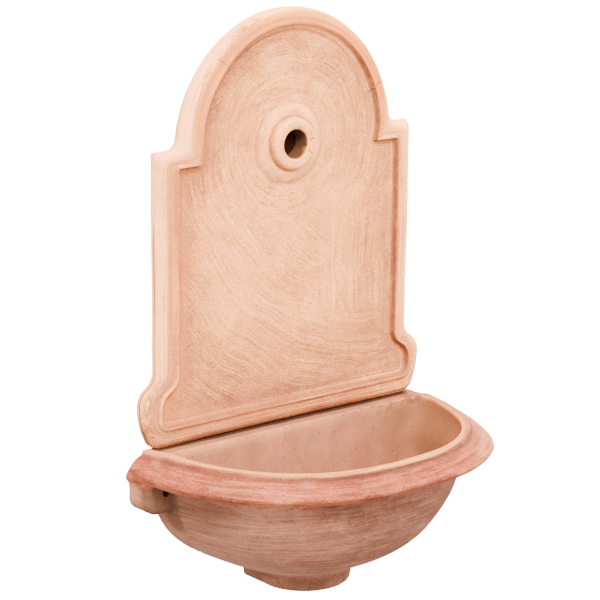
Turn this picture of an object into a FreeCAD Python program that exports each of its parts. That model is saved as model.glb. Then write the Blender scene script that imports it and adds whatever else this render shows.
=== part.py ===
"""Wall fountain in unglazed terracotta: an arched back panel that stands on the ledge of a half-round basin.

Frame: +Z up, +X to the right, the wall is the plane y = 0 and the fountain stands out to -Y.
The origin is on the wall, midway between the basin's two fixing holes.
"""
import FreeCAD, Part
import math
import os

import Sketcher
from FreeCAD import Vector

OUTPUT_FOLDER = "parts"

# Sizes in millimetres: alias, value or what it follows from, meaning.
# "Up" and "down" are measured from the ledge.
SIZES = [
    ("ledge_height", 54, "fixing holes up to the ledge and the rim"),
    ("panel_width", 448, "back panel across its straight sides"),
    ("panel_thickness", 22, "wall to the crest of the frame"),
    ("slab_thickness", 8, "wall to the seam between slab and frame"),
    ("field_clay", 4, "seam between slab and frame up to the field"),
    ("field_thickness", "=slab_thickness + field_clay", "wall to the sunk field inside the frame"),
    ("seam_inset", 1, "frame set back from the edge of the slab"),
    ("shoulder_height", 402, "up to the shoulders of the panel"),
    ("shoulder_width", 37, "straight side in to the arch"),
    ("arch_radius", "=panel_width / 2 - shoulder_width", "outside of the arch"),
    ("arch_centre_drop", 11, "shoulders down to the centre of the outer arch"),
    ("arch_centre_height", "=shoulder_height - arch_centre_drop", "up to the centre of the outer arch"),
    ("flare_reach", 26, "straight side out to the widest point near the foot"),
    ("flare_width", "=panel_width + 2 * flare_reach", "panel at its widest, near its foot"),
    ("flare_top", 103, "up to the foot of the straight sides"),
    ("flare_hollow_radius", 24, "hollow part of the flare"),
    ("flare_round_radius", 28, "round part of the flare"),
    ("flare_side_radius", 110, "long curve below the widest point"),
    ("panel_corner_radius", 23, "bottom corners of the panel"),
    ("panel_bow", 3, "rise of the bottom edge at its middle"),
    ("panel_seat", 14, "flat seat at each end of the bottom edge"),
    ("frame_slope_width", 17, "frame's outer edge in to its crest"),
    ("frame_slope_drop", 5, "fall of the sloping border towards the outer edge"),
    ("frame_edge_width", 5, "rounded outer edge of the frame, seen from the front"),
    ("frame_edge_depth", 5, "rounded outer edge of the frame, seen from the side"),
    ("frame_shoulder_radius", 10, "shoulder corners of the frame"),
    ("slab_shoulder_radius", 2, "shoulder corners of the slab and of the crest"),
    ("frame_crest_radius", 2.5, "rounded inner edge of the frame"),
    ("frame_width", 30, "frame beside the sunk field"),
    ("field_width", "=panel_width - 2 * frame_width", "sunk field across its straight sides"),
    ("field_bottom", 25, "up to the lower edge of the sunk field"),
    ("frame_shoulder_drop", 22, "frame under the shoulders"),
    ("field_step_height", "=shoulder_height - frame_shoulder_drop", "up to the inner shoulders of the field"),
    ("frame_arch_width", 31, "outer arch radius less the inner one"),
    ("field_arch_radius", "=arch_radius - frame_arch_width", "arch of the sunk field"),
    ("field_arch_rise", 8, "centre of the inner arch above that of the outer arch"),
    ("field_arch_height", "=arch_centre_height + field_arch_rise", "up to the centre of the field's arch"),
    ("frame_flare_width", 27, "frame at the widest point"),
    ("field_flare_width", "=flare_width - 2 * frame_flare_width", "sunk field at its widest"),
    ("field_corner_radius", 14, "bottom corners of the sunk field"),
    ("boss_drop", 9, "shoulders down to the centre of the tap boss"),
    ("boss_height", "=shoulder_height - boss_drop", "up to the centre of the tap boss"),
    ("boss_radius", 37, "flat ring of the tap boss"),
    ("boss_proud", 5, "face of the tap boss beyond the crest of the frame"),
    ("boss_reach", "=panel_thickness + boss_proud", "wall to the face of the tap boss"),
    ("boss_edge_radius", 2, "rounded edge of the flat ring"),
    ("collar_radius", 53, "soft collar round the tap boss"),
    ("collar_rise", 7, "crest of the collar above the field"),
    ("collar_reach", "=field_thickness + collar_rise", "wall to the crest of the collar"),
    ("groove_depth", 2.5, "groove between the flat ring and the collar"),
    ("tap_bore_radius", 20, "bore for the tap"),
    ("rim_margin", 6, "inner edge of the lip beyond the straight side of the panel"),
    ("rim_half_width", "=panel_width / 2 + rim_margin", "middle to the inner edge of the lip, at the sides"),
    ("rim_depth", 254, "wall to the inner edge of the lip, at the front"),
    ("plan_setback", 27, "centre of the plan curve, behind the wall"),
    ("lip_width", 9.5, "flat lip round the water"),
    ("lip_edge_radius", 2, "softened inner edge of the lip and of the ledge"),
    ("lip_step", 4.4, "step from the lip down to the rolled band"),
    ("band_reach", 43, "nose of the rolled band, out from the inner edge of the lip"),
    ("band_nose_drop", 27, "down to the nose of the rolled band"),
    ("band_underside", 10, "nose of the rolled band down to its underside"),
    ("band_drop", "=band_nose_drop + band_underside", "down to the underside of the rolled band"),
    ("bowl_side_inset", 3, "bowl inside the inner edge of the lip, at the sides"),
    ("bowl_front_inset", 15, "bowl inside the inner edge of the lip, at the front"),
    ("cove_drop", 16, "underside of the band down to the plain bowl"),
    ("bowl_top_drop", "=band_drop + cove_drop", "down to the top of the plain bowl"),
    ("bowl_drop", 206, "down to the lowest point of the bowl"),
    ("wall_clay", 18, "clay of the bowl and its floor"),
    ("ledge_margin", 20, "ledge in front of the panel"),
    ("ledge_depth", "=panel_thickness + ledge_margin", "wall to the front of the ledge"),
    ("foot_radius", 70, "round front of the foot"),
    ("foot_depth", 121, "wall to the front of the foot"),
    ("foot_height", 19, "lowest point of the bowl down to the underside of the foot"),
    ("foot_drop", "=bowl_drop + foot_height", "down to the underside of the foot"),
    ("foot_edge_radius", 7, "rounded lower edge of the foot"),
    ("drain_bore_radius", 22.5, "bore for the waste outlet"),
    ("drain_margin", 44, "centre of the waste outlet behind the front of the foot"),
    ("drain_reach", "=foot_depth - drain_margin", "wall to the centre of the waste outlet"),
    ("lug_reach", 33, "outer side of each lug beyond the inner edge of the lip"),
    ("lug_half_width", "=rim_half_width + lug_reach", "middle to the outer side of each fixing lug"),
    ("lug_depth", 46, "wall to the front of each lug"),
    ("lug_drop", 84, "down to the underside of each lug"),
    ("lug_corner_radius", 15, "outer lower corner of each lug"),
    ("lug_edge_radius", 6, "rounded front edge of each lug"),
    ("fixing_reach", 3, "each fixing hole beyond the inner edge of the lip"),
    ("fixing_spacing", "=2 * rim_half_width + 2 * fixing_reach", "between the two fixing holes"),
    ("fixing_hole_radius", 6.5, "fixing holes through the lugs"),
]

# Fullness of the curves: 2 is an ellipse, more is squarer. The top of the bowl is squarer in plan than
# the rim, and this fades out over the first part of the bowl's drop.
PLAN_FULLNESS = 2.5
BOWL_EXTRA_FULLNESS = 0.4
EXTRA_FULLNESS_END = 0.45
BOWL_SIDE_FULLNESS = 2.03
BOWL_FRONT_FULLNESS = 2.53

# Where the modelled bowl stops, as a share of its full drop; the foot and the floor cover the rest.
BOWL_END = 0.96
FLOOR_START = 0.93

BOWL_SECTIONS = 9
PLAN_POINTS = 30

# Stock left on the wall side of the lofts, trimmed off again by a flat cut.
TRIM = 0.5

doc = FreeCAD.newDocument("wall_fountain")


def make_sheet():
    """Puts every size in a spreadsheet, one row each, and returns the sheet."""
    sheet = doc.addObject("Spreadsheet::Sheet", "sizes")
    for row, (alias, value, meaning) in enumerate(SIZES, start=1):
        sheet.set("A%d" % row, str(value))
        sheet.setAlias("A%d" % row, alias)
        sheet.set("B%d" % row, meaning)
    doc.recompute()
    return sheet


sizes = make_sheet()


def size(alias):
    return float(sizes.get(alias))


# Bodies and sketches

def origin_item(body, role):
    return next(item for item in body.Origin.OriginFeatures if item.Role == role)


def new_body(name):
    body = doc.addObject("PartDesign::Body", name)
    body.Label = name
    return body


def new_sketch(body, name, role):
    """A sketch on one of the body's origin planes."""
    sketch = body.newObject("Sketcher::SketchObject", name)
    sketch.AttachmentSupport = [(origin_item(body, role), "")]
    sketch.MapMode = "FlatFace"
    return sketch


def new_wall_sketch(body, name, reach=None):
    """A sketch parallel to the wall, at a distance from it; its own origin is at ledge height."""
    sketch = new_sketch(body, name, "XZ_Plane")
    sketch.setExpression("AttachmentOffset.Base.y", "sizes.ledge_height")
    if reach:
        sketch.setExpression("AttachmentOffset.Base.z", reach)
    return sketch


def bind(sketch, name, expression, kind, *where):
    """Adds a named dimension at its present length and drives it from the sheet."""
    index = sketch.addConstraint(Sketcher.Constraint(kind, *where))
    sketch.renameConstraint(index, name)
    sketch.setExpression("Constraints." + name, expression)


def tie(sketch, kind, *where):
    sketch.addConstraint(Sketcher.Constraint(kind, *where))


def new_feature(body, kind, name, base=None, **lengths):
    """Adds a feature to the body, with its lengths given as expressions."""
    feature = body.newObject("PartDesign::" + kind, name)
    if base:
        setattr(feature, "Base" if isinstance(base, tuple) else "Profile", base)
    for length, expression in lengths.items():
        feature.setExpression(length, expression)
    return feature


def mirror_across_middle(body, features, name):
    """Repeats features on the other side of the middle plane."""
    mirrored = body.newObject("PartDesign::Mirrored", name)
    mirrored.Originals = features
    mirrored.MirrorPlane = (origin_item(body, "YZ_Plane"), [""])
    mirrored.Refine = True
    body.Tip = mirrored
    doc.recompute()
    return mirrored


def round_edges(body, feature, name, edges, radius):
    """Rounds the listed edges of a feature."""
    if not edges:
        raise RuntimeError("no edges found for " + name)
    fillet = new_feature(body, "Fillet", name, (feature, edges), Radius=radius)
    doc.recompute()
    return fillet


def edges_where(feature, test):
    """Names of the feature's edges whose bounding box passes a test."""
    edges = enumerate(feature.Shape.Edges, start=1)
    return ["Edge%d" % number for number, edge in edges if test(edge.BoundBox)]


def near(first, second):
    return abs(first - second) < 0.05


# Curves of the panel

def arc(centre_x, centre_y, radius, start_degrees, end_degrees):
    """Arc drawn anticlockwise between two angles."""
    circle = Part.Circle(Vector(centre_x, centre_y, 0), Vector(0, 0, 1), radius)
    return Part.ArcOfCircle(circle, math.radians(start_degrees), math.radians(end_degrees))


def line(x0, y0, x1, y1):
    return Part.LineSegment(Vector(x0, y0, 0), Vector(x1, y1, 0))


def flare_arcs(straight, widest, hollow, rounded):
    """Round and hollow arcs that carry a straight side out to its widest, and the height where they end."""
    turn = math.degrees(math.acos(1 - (widest - straight) / (hollow + rounded)))
    top = size("flare_top")
    low = top - (hollow + rounded) * math.sin(math.radians(turn))
    round_arc = arc(widest - rounded, low, rounded, 0, turn)
    hollow_arc = arc(straight + hollow, top, hollow, 180, 180 + turn)
    return round_arc, hollow_arc, low


def arch_arc(step, radius, centre):
    """Arc from its foot at step height up to its crown, and how far out its foot stands."""
    foot_angle = math.asin((step - centre) / radius)
    return arc(0, centre, radius, math.degrees(foot_angle), 90), radius * math.cos(foot_angle)


def constrain_flare(sketch, rounded, hollow, side, straight, widest, hollow_radius, round_radius):
    """Tangent flare below a straight side."""
    tie(sketch, "Tangent", rounded, 2, hollow, 2)
    tie(sketch, "Tangent", hollow, 1, side, 1)
    tie(sketch, "Vertical", side)
    tie(sketch, "Horizontal", rounded, 3, rounded, 1)
    bind(sketch, "flare_hollow", hollow_radius, "Radius", hollow, sketch.Geometry[hollow].Radius)
    bind(sketch, "flare_round", round_radius, "Radius", rounded, sketch.Geometry[rounded].Radius)
    bind(sketch, "side_half", straight, "DistanceX", -1, 1, side, 1, sketch.Geometry[side].StartPoint.x)
    bind(sketch, "widest_half", widest, "DistanceX", -1, 1, rounded, 1, sketch.Geometry[rounded].StartPoint.x)
    bind(sketch, "flare_height", "sizes.flare_top", "DistanceY", -1, 1, side, 1, size("flare_top"))


def constrain_arch(sketch, side, step, arch, axis, radius, centre_height):
    """Level step, then the arch, closed by the middle line."""
    tie(sketch, "Coincident", step, 2, arch, 1)
    tie(sketch, "Coincident", arch, 2, axis, 1)
    tie(sketch, "Horizontal", step)
    for curve, point in ((arch, 3), (arch, 2), (axis, 2)):
        tie(sketch, "PointOnObject", curve, point, -2)
    bind(sketch, "arch_radius", radius, "Radius", arch, sketch.Geometry[arch].Radius)
    bind(sketch, "arch_height", centre_height, "DistanceY", -1, 1, arch, 3, sketch.Geometry[arch].Center.y)


def draw_panel_outline(sketch, inset, shoulder_radius):
    """Right half of the panel's outline, set back from the slab's edge by shares of the sizes in inset."""
    gap = sum(share * size(alias) for share, alias in inset)
    less = "".join(" - %g * sizes.%s" % pair for pair in inset)
    more = less.replace(" - ", " + ")
    side = size("panel_width") / 2 - gap
    widest = size("flare_width") / 2 - gap
    corner = size("panel_corner_radius") - gap
    long_radius = size("flare_side_radius") - gap
    bow = size("panel_bow")
    seat = size("panel_seat")
    shoulder = size("shoulder_height") - gap
    rounding = size(shoulder_radius)
    radius = size("arch_radius") - gap
    crown = size("arch_centre_height") + radius
    round_arc, hollow_arc, low = flare_arcs(side, widest, size("flare_hollow_radius") + gap,
                                            size("flare_round_radius") - gap)
    drop = low - gap - corner
    turn = math.degrees(math.asin(drop / (long_radius - corner)))
    corner_x = widest - long_radius + math.sqrt((long_radius - corner) ** 2 - drop ** 2)
    half_bow = corner_x - seat
    bow_radius = (half_bow ** 2 + bow ** 2) / (2 * bow)
    bow_angle = math.degrees(math.asin(half_bow / bow_radius))
    arch, arch_foot = arch_arc(shoulder, radius, size("arch_centre_height"))
    sketch.addGeometry([
        arc(0, gap + bow - bow_radius, bow_radius, 90 - bow_angle, 90),
        line(half_bow, gap, corner_x, gap),
        arc(corner_x, gap + corner, corner, 270, 360 - turn),
        arc(widest - long_radius, low, long_radius, -turn, 0),
        round_arc,
        hollow_arc,
        line(side, size("flare_top"), side, shoulder - rounding),
        arc(side - rounding, shoulder - rounding, rounding, 0, 90),
        line(side - rounding, shoulder, arch_foot, shoulder),
        arch,
        line(0, crown, 0, gap + bow),
    ], False)
    bottom, flat, corner_arc, long_arc, rounded, hollow = range(6)
    side_line, shoulder_arc, step, arch_top, axis = range(6, 11)
    tie(sketch, "Coincident", bottom, 1, flat, 1)
    tie(sketch, "Coincident", bottom, 2, axis, 2)
    tie(sketch, "Horizontal", flat)
    tie(sketch, "Tangent", flat, 2, corner_arc, 1)
    tie(sketch, "Tangent", corner_arc, 2, long_arc, 1)
    tie(sketch, "Tangent", long_arc, 2, rounded, 1)
    tie(sketch, "PointOnObject", bottom, 3, -2)
    tie(sketch, "Tangent", side_line, 2, shoulder_arc, 1)
    tie(sketch, "Tangent", shoulder_arc, 2, step, 1)
    constrain_flare(sketch, rounded, hollow, side_line, "sizes.panel_width / 2" + less,
                    "sizes.flare_width / 2" + less, "sizes.flare_hollow_radius" + more,
                    "sizes.flare_round_radius" + less)
    constrain_arch(sketch, side_line, step, arch_top, axis, "sizes.arch_radius" + less,
                   "sizes.arch_centre_height")
    bind(sketch, "shoulder", "sizes.shoulder_height" + less, "DistanceY", -1, 1, step, 1, shoulder)
    bind(sketch, "shoulder_round", "sizes." + shoulder_radius, "Radius", shoulder_arc, rounding)
    bind(sketch, "corner", "sizes.panel_corner_radius" + less, "Radius", corner_arc, corner)
    bind(sketch, "long_side", "sizes.flare_side_radius" + less, "Radius", long_arc, long_radius)
    bind(sketch, "seat", "sizes.panel_seat", "DistanceX", flat, 1, flat, 2, seat)
    bind(sketch, "bow", "sizes.panel_bow" + more, "DistanceY", -1, 1, bottom, 2, bow + gap)
    if inset:
        bind(sketch, "bottom", "0" + more, "DistanceY", -1, 1, flat, 1, gap)
    else:
        tie(sketch, "PointOnObject", flat, 1, -1)


def draw_field_outline(sketch):
    """Right half of the sunk field's outline."""
    side = size("field_width") / 2
    widest = size("field_flare_width") / 2
    corner = size("field_corner_radius")
    low_edge = size("field_bottom")
    step_height = size("field_step_height")
    crown = size("field_arch_height") + size("field_arch_radius")
    round_arc, hollow_arc, low = flare_arcs(side, widest, size("flare_hollow_radius"),
                                            size("flare_round_radius"))
    arch, arch_foot = arch_arc(step_height, size("field_arch_radius"), size("field_arch_height"))
    sketch.addGeometry([
        line(0, low_edge, widest - corner, low_edge),
        arc(widest - corner, low_edge + corner, corner, 270, 360),
        line(widest, low_edge + corner, widest, low),
        round_arc,
        hollow_arc,
        line(side, size("flare_top"), side, step_height),
        line(side, step_height, arch_foot, step_height),
        arch,
        line(0, crown, 0, low_edge),
    ], False)
    bottom, corner_arc, lower_side, rounded, hollow, side_line, step, arch_top, axis = range(9)
    tie(sketch, "Coincident", axis, 2, bottom, 1)
    tie(sketch, "Horizontal", bottom)
    tie(sketch, "Tangent", bottom, 2, corner_arc, 1)
    tie(sketch, "Tangent", corner_arc, 2, lower_side, 1)
    tie(sketch, "Tangent", lower_side, 2, rounded, 1)
    constrain_flare(sketch, rounded, hollow, side_line, "sizes.field_width / 2",
                    "sizes.field_flare_width / 2", "sizes.flare_hollow_radius", "sizes.flare_round_radius")
    constrain_arch(sketch, side_line, step, arch_top, axis, "sizes.field_arch_radius",
                   "sizes.field_arch_height")
    tie(sketch, "Coincident", side_line, 2, step, 1)
    bind(sketch, "step_height", "sizes.field_step_height", "DistanceY", -1, 1, side_line, 2, step_height)
    bind(sketch, "corner", "sizes.field_corner_radius", "Radius", corner_arc, corner)
    bind(sketch, "bottom", "sizes.field_bottom", "DistanceY", -1, 1, bottom, 1, low_edge)


def draw_boss_section(sketch):
    """Half section of the tap boss: flat ring, groove, soft collar. The level axis is the bore's axis."""
    face = -size("boss_reach")
    ring = size("boss_radius")
    groove = -size("collar_reach") + size("groove_depth")
    collar = size("collar_radius")
    crest = -size("collar_reach")
    back = -size("slab_thickness")
    crest_radius = (ring + collar) / 2 - 3
    points = [(back, 0), (face, 0), (face, ring), (groove, ring), (crest, crest_radius),
              (-size("field_thickness"), collar), (back, collar)]
    for start, end in zip(points, points[1:] + points[:1]):
        sketch.addGeometry(line(*start, *end), False)
    count = len(points)
    for index in range(count):
        tie(sketch, "Coincident", index, 2, (index + 1) % count, 1)
    tie(sketch, "PointOnObject", 0, 1, -1)
    tie(sketch, "PointOnObject", 0, 2, -1)
    tie(sketch, "Vertical", 1)
    tie(sketch, "Horizontal", 2)
    tie(sketch, "Horizontal", 5)
    tie(sketch, "Vertical", 6)
    bind(sketch, "back", "sizes.slab_thickness", "DistanceX", 0, 1, -1, 1, -back)
    bind(sketch, "face", "sizes.boss_reach", "DistanceX", 0, 2, -1, 1, -face)
    bind(sketch, "ring", "sizes.boss_radius", "DistanceY", -1, 1, 1, 2, ring)
    bind(sketch, "groove", "sizes.collar_reach - sizes.groove_depth", "DistanceX", 2, 2, -1, 1, -groove)
    bind(sketch, "crest", "sizes.collar_reach", "DistanceX", 3, 2, -1, 1, -crest)
    bind(sketch, "crest_radius", "(sizes.boss_radius + sizes.collar_radius) / 2 - 3",
         "DistanceY", -1, 1, 3, 2, crest_radius)
    bind(sketch, "collar", "sizes.collar_radius", "DistanceY", -1, 1, 4, 2, collar)
    bind(sketch, "field", "sizes.field_thickness", "DistanceX", 4, 2, -1, 1, size("field_thickness"))


def make_panel():
    """Back panel: arched slab, raised frame with a sloping border, sunk field, tap boss and bore."""
    body = new_body("back_panel")
    slab_sketch = new_wall_sketch(body, "slab_outline")
    draw_panel_outline(slab_sketch, [], "slab_shoulder_radius")
    slab = new_feature(body, "Pad", "slab", slab_sketch, Length="sizes.slab_thickness")
    border_foot = "sizes.panel_thickness - sizes.frame_slope_drop"
    round_foot = border_foot + " - sizes.frame_edge_depth"
    frame_sketch = new_wall_sketch(body, "frame_outline", "sizes.slab_thickness")
    draw_panel_outline(frame_sketch, [(1, "seam_inset")], "frame_shoulder_radius")
    frame = new_feature(body, "Pad", "frame", frame_sketch, Length=round_foot + " - sizes.slab_thickness")
    steps = [
        ("round_start", round_foot, [(1, "seam_inset")], "frame_shoulder_radius"),
        ("round_middle", border_foot + " - 0.3 * sizes.frame_edge_depth",
         [(1, "seam_inset"), (0.3, "frame_edge_width")], "frame_shoulder_radius"),
        ("round_end", border_foot, [(1, "seam_inset"), (1, "frame_edge_width")], "frame_shoulder_radius"),
        ("crest", "sizes.panel_thickness", [(1, "seam_inset"), (1, "frame_slope_width")],
         "slab_shoulder_radius"),
    ]
    outlines = []
    for name, reach, inset, shoulder_radius in steps:
        sketch = new_wall_sketch(body, name + "_outline", reach)
        draw_panel_outline(sketch, inset, shoulder_radius)
        outlines.append(sketch)
    doc.recompute()
    border = new_feature(body, "AdditiveLoft", "border", outlines[0])
    border.Sections = outlines[1:]
    border.Ruled = True
    doc.recompute()
    mirror_across_middle(body, [slab, frame, border], "whole_panel")

    field_sketch = new_wall_sketch(body, "field_outline", "sizes.panel_thickness")
    draw_field_outline(field_sketch)
    field_half = new_feature(body, "Pocket", "field_half", field_sketch,
                             Length="sizes.panel_thickness - sizes.field_thickness")
    doc.recompute()
    field = mirror_across_middle(body, [field_half], "field")
    round_edges(body, field, "frame_crest", crest_edges(field), "sizes.frame_crest_radius")

    boss_sketch = new_sketch(body, "boss_section", "YZ_Plane")
    boss_sketch.setExpression("AttachmentOffset.Base.y", "sizes.ledge_height + sizes.boss_height")
    draw_boss_section(boss_sketch)
    boss = new_feature(body, "Revolution", "boss", boss_sketch)
    boss.ReferenceAxis = (boss_sketch, ["H_Axis"])
    boss.Angle = 360
    doc.recompute()
    face = -size("boss_reach")
    rim = edges_where(boss, lambda box: near(box.YMin, face) and near(box.YMax, face))
    round_edges(body, boss, "boss_edge", rim, "sizes.boss_edge_radius")
    cut_round_hole(body, "tap_bore", "sizes.boss_height", "sizes.tap_bore_radius")
    return body


def crest_edges(feature):
    """Edges where the walls of the sunk field meet the crest of the frame."""
    crest = -size("panel_thickness")
    floor = -size("field_thickness")
    names = []
    for face in feature.Shape.Faces:
        if not (near(face.BoundBox.YMin, crest) and near(face.BoundBox.YMax, floor)):
            continue
        for edge in face.Edges:
            if near(edge.BoundBox.YMin, crest) and near(edge.BoundBox.YMax, crest):
                names += ["Edge%d" % number for number, other in enumerate(feature.Shape.Edges, start=1)
                          if other.isSame(edge)]
    return names


def cut_round_hole(body, name, height, radius):
    """Round hole along Y on the middle line, right through."""
    sketch = new_wall_sketch(body, name + "_outline")
    height_value = size(height.split(".")[1])
    radius_value = size(radius.split(".")[1])
    sketch.addGeometry(Part.Circle(Vector(0, height_value, 0), Vector(0, 0, 1), radius_value), False)
    tie(sketch, "PointOnObject", 0, 3, -2)
    bind(sketch, "height", height, "DistanceY", -1, 1, 0, 3, height_value)
    bind(sketch, "radius", radius, "Radius", 0, radius_value)
    hole = new_feature(body, "Pocket", name, sketch)
    hole.Type = "ThroughAll"
    hole.Midplane = True
    doc.recompute()
    return hole


# Curves of the basin

def plan_wire(half_width, depth, setback, height, back, fullness=PLAN_FULLNESS):
    """Plan curve of the basin at one height, closed by a straight line across it at y = back."""
    length = depth + setback
    behind = (setback - back) / length
    start = math.atan2(setback - back, half_width * (1 - behind ** fullness) ** (1 / fullness))
    points = []
    for index in range(PLAN_POINTS + 1):
        angle = start + (math.pi - 2 * start) * index / PLAN_POINTS
        across = abs(math.cos(angle)) / half_width
        along = abs(math.sin(angle)) / length
        reach = (across ** fullness + along ** fullness) ** (-1 / fullness)
        points.append(Vector(reach * math.cos(angle), setback - reach * math.sin(angle), height))
    curve = Part.BSplineCurve()
    curve.interpolate(Points=points)
    return Part.Wire([curve.toShape(), Part.LineSegment(points[-1], points[0]).toShape()])


def rim_section(outset, drop, back):
    """Plan curve at a distance outside the inner edge of the lip."""
    return plan_wire(size("rim_half_width") + outset, size("rim_depth") + outset, size("plan_setback"),
                     -drop, back)


def bowl_sections(end, half_width, depth, top_drop, low_drop, back, extra_fullness=0.0):
    """Plan curves from the top of the bowl to a share of its full drop, closer together near the bottom."""
    sections = []
    for index in range(BOWL_SECTIONS + 1):
        share = end * math.sin(math.pi / 2 * index / BOWL_SECTIONS)
        side = (1 - share ** BOWL_SIDE_FULLNESS) ** (1 / BOWL_SIDE_FULLNESS)
        front = (1 - share ** BOWL_FRONT_FULLNESS) ** (1 / BOWL_FRONT_FULLNESS)
        height = -top_drop - share * (low_drop - top_drop)
        fullness = PLAN_FULLNESS + extra_fullness * max(0.0, 1 - share / EXTRA_FULLNESS_END)
        setback = size("plan_setback") * front
        sections.append(plan_wire(half_width * side, depth * front, setback, height, back, fullness))
    return sections


def loft(sections, ruled=False):
    return Part.makeLoft(sections, True, ruled)


def in_front_of(solid, plane_y):
    """The part of a solid that lies in front of a plane parallel to the wall."""
    reach = 4 * size("rim_depth")
    keep = Part.makeBox(reach, reach, reach, Vector(-reach / 2, plane_y - reach, -reach / 2))
    return solid.common(keep)


def basin_solid():
    """Outside of the basin: flat lip, rolled band, hollow cove under it and the bowl."""
    crest = size("lip_width") + size("lip_step")
    step = size("lip_step")
    nose = size("band_reach")
    nose_drop = size("band_nose_drop")
    under = size("band_drop")
    bowl_top = size("bowl_top_drop")
    tuck = nose - 3
    tuck_drop = nose_drop + 1
    under_reach = nose - 9
    side_inset = size("bowl_side_inset")
    front_inset = size("bowl_front_inset")
    lip = [rim_section(size("lip_width"), 0, TRIM), rim_section(crest, step, TRIM)]
    band = [rim_section(crest + (nose - crest) * out, step + (nose_drop - step) * down, TRIM)
            for out, down in ((0, 0), (0.34, 0.24), (0.65, 0.5), (0.88, 0.76), (1, 1))]
    under_nose = [rim_section(nose, nose_drop, TRIM), rim_section(tuck, tuck_drop, TRIM)]
    under_band = [rim_section(tuck - (tuck - under_reach) * back, tuck_drop + (under - tuck_drop) * down,
                              TRIM)
                  for back, down in ((0, 0), (0.1, 0.4), (0.43, 0.75), (1, 1))]
    cove = [plan_wire(size("rim_half_width") + under_reach * (1 - back) - side_inset * back,
                      size("rim_depth") + under_reach * (1 - back) - front_inset * back,
                      size("plan_setback"), -under - (bowl_top - under) * down, TRIM,
                      PLAN_FULLNESS + BOWL_EXTRA_FULLNESS * back)
            for back, down in ((0, 0), (0.45, 0.1), (0.78, 0.35), (0.95, 0.7), (1, 1))]
    bowl = bowl_sections(BOWL_END, size("rim_half_width") - side_inset, size("rim_depth") - front_inset,
                         bowl_top, size("bowl_drop"), TRIM, BOWL_EXTRA_FULLNESS)
    layers = [loft(lip, True), loft(band), loft(under_nose, True), loft(under_band), loft(cove), loft(bowl)]
    return in_front_of(layers[0].multiFuse(layers[1:]), 0)


def water_space():
    """Inside of the basin, in front of the ledge, with a flat floor."""
    clay = size("wall_clay")
    back = TRIM - size("ledge_depth")
    bowl_top = size("bowl_top_drop")
    floor = size("bowl_drop") - clay
    full_drop = bowl_top + (floor - bowl_top) / FLOOR_START
    sections = [rim_section(0, 0, back), rim_section(-1.5, 0.25 * bowl_top, back)]
    sections += bowl_sections(FLOOR_START, size("rim_half_width") - size("bowl_side_inset") - clay,
                              size("rim_depth") - size("bowl_front_inset") - clay, bowl_top, full_drop, back)
    return in_front_of(loft(sections), -size("ledge_depth"))


def draw_foot_outline(sketch):
    """Foot seen from above: straight sides off the wall and a round front."""
    radius = size("foot_radius")
    straight = size("foot_depth") - radius
    sketch.addGeometry([
        line(-radius, 0, -radius, -straight),
        arc(0, -straight, radius, 180, 360),
        line(radius, -straight, radius, 0),
        line(radius, 0, -radius, 0),
    ], False)
    left, front, right, wall = range(4)
    tie(sketch, "Tangent", left, 2, front, 1)
    tie(sketch, "Tangent", front, 2, right, 1)
    tie(sketch, "Coincident", right, 2, wall, 1)
    tie(sketch, "Coincident", wall, 2, left, 1)
    tie(sketch, "Vertical", left)
    tie(sketch, "Vertical", right)
    tie(sketch, "PointOnObject", wall, 1, -1)
    tie(sketch, "PointOnObject", wall, 2, -1)
    tie(sketch, "PointOnObject", front, 3, -2)
    bind(sketch, "radius", "sizes.foot_radius", "Radius", front, radius)
    bind(sketch, "straight", "sizes.foot_depth - sizes.foot_radius", "DistanceY", front, 3, -1, 1, straight)


def draw_lug_outline(sketch, share):
    """Right fixing lug seen from the front, set in by a share of its rounded edge.

    Its top lies inside the band and its inner side inside the bowl.
    """
    gap = share * size("lug_edge_radius")
    less = " - %g * sizes.lug_edge_radius" % share
    inner = size("rim_half_width") - size("bowl_side_inset") - 0.8 * size("wall_clay")
    outer = size("lug_half_width") - gap
    top = -(size("band_drop") - 4)
    bottom = gap - size("lug_drop")
    corner = size("lug_corner_radius") - gap
    sketch.addGeometry([
        line(inner, bottom, outer - corner, bottom),
        arc(outer - corner, bottom + corner, corner, 270, 360),
        line(outer, bottom + corner, outer, top),
        line(outer, top, inner, top),
        line(inner, top, inner, bottom),
    ], False)
    below, corner_arc, outside, above, inside = range(5)
    tie(sketch, "Tangent", below, 2, corner_arc, 1)
    tie(sketch, "Tangent", corner_arc, 2, outside, 1)
    tie(sketch, "Coincident", outside, 2, above, 1)
    tie(sketch, "Coincident", above, 2, inside, 1)
    tie(sketch, "Coincident", inside, 2, below, 1)
    tie(sketch, "Horizontal", below)
    tie(sketch, "Vertical", outside)
    tie(sketch, "Horizontal", above)
    tie(sketch, "Vertical", inside)
    bind(sketch, "inner", "sizes.rim_half_width - sizes.bowl_side_inset - 0.8 * sizes.wall_clay",
         "DistanceX", -1, 1, inside, 1, inner)
    bind(sketch, "outer", "sizes.lug_half_width" + less, "DistanceX", -1, 1, outside, 2, outer)
    bind(sketch, "top", "sizes.band_drop - 4", "DistanceY", above, 1, -1, 1, -top)
    bind(sketch, "bottom", "sizes.lug_drop" + less, "DistanceY", below, 1, -1, 1, -bottom)
    bind(sketch, "corner", "sizes.lug_corner_radius" + less, "Radius", corner_arc, corner)


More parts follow.
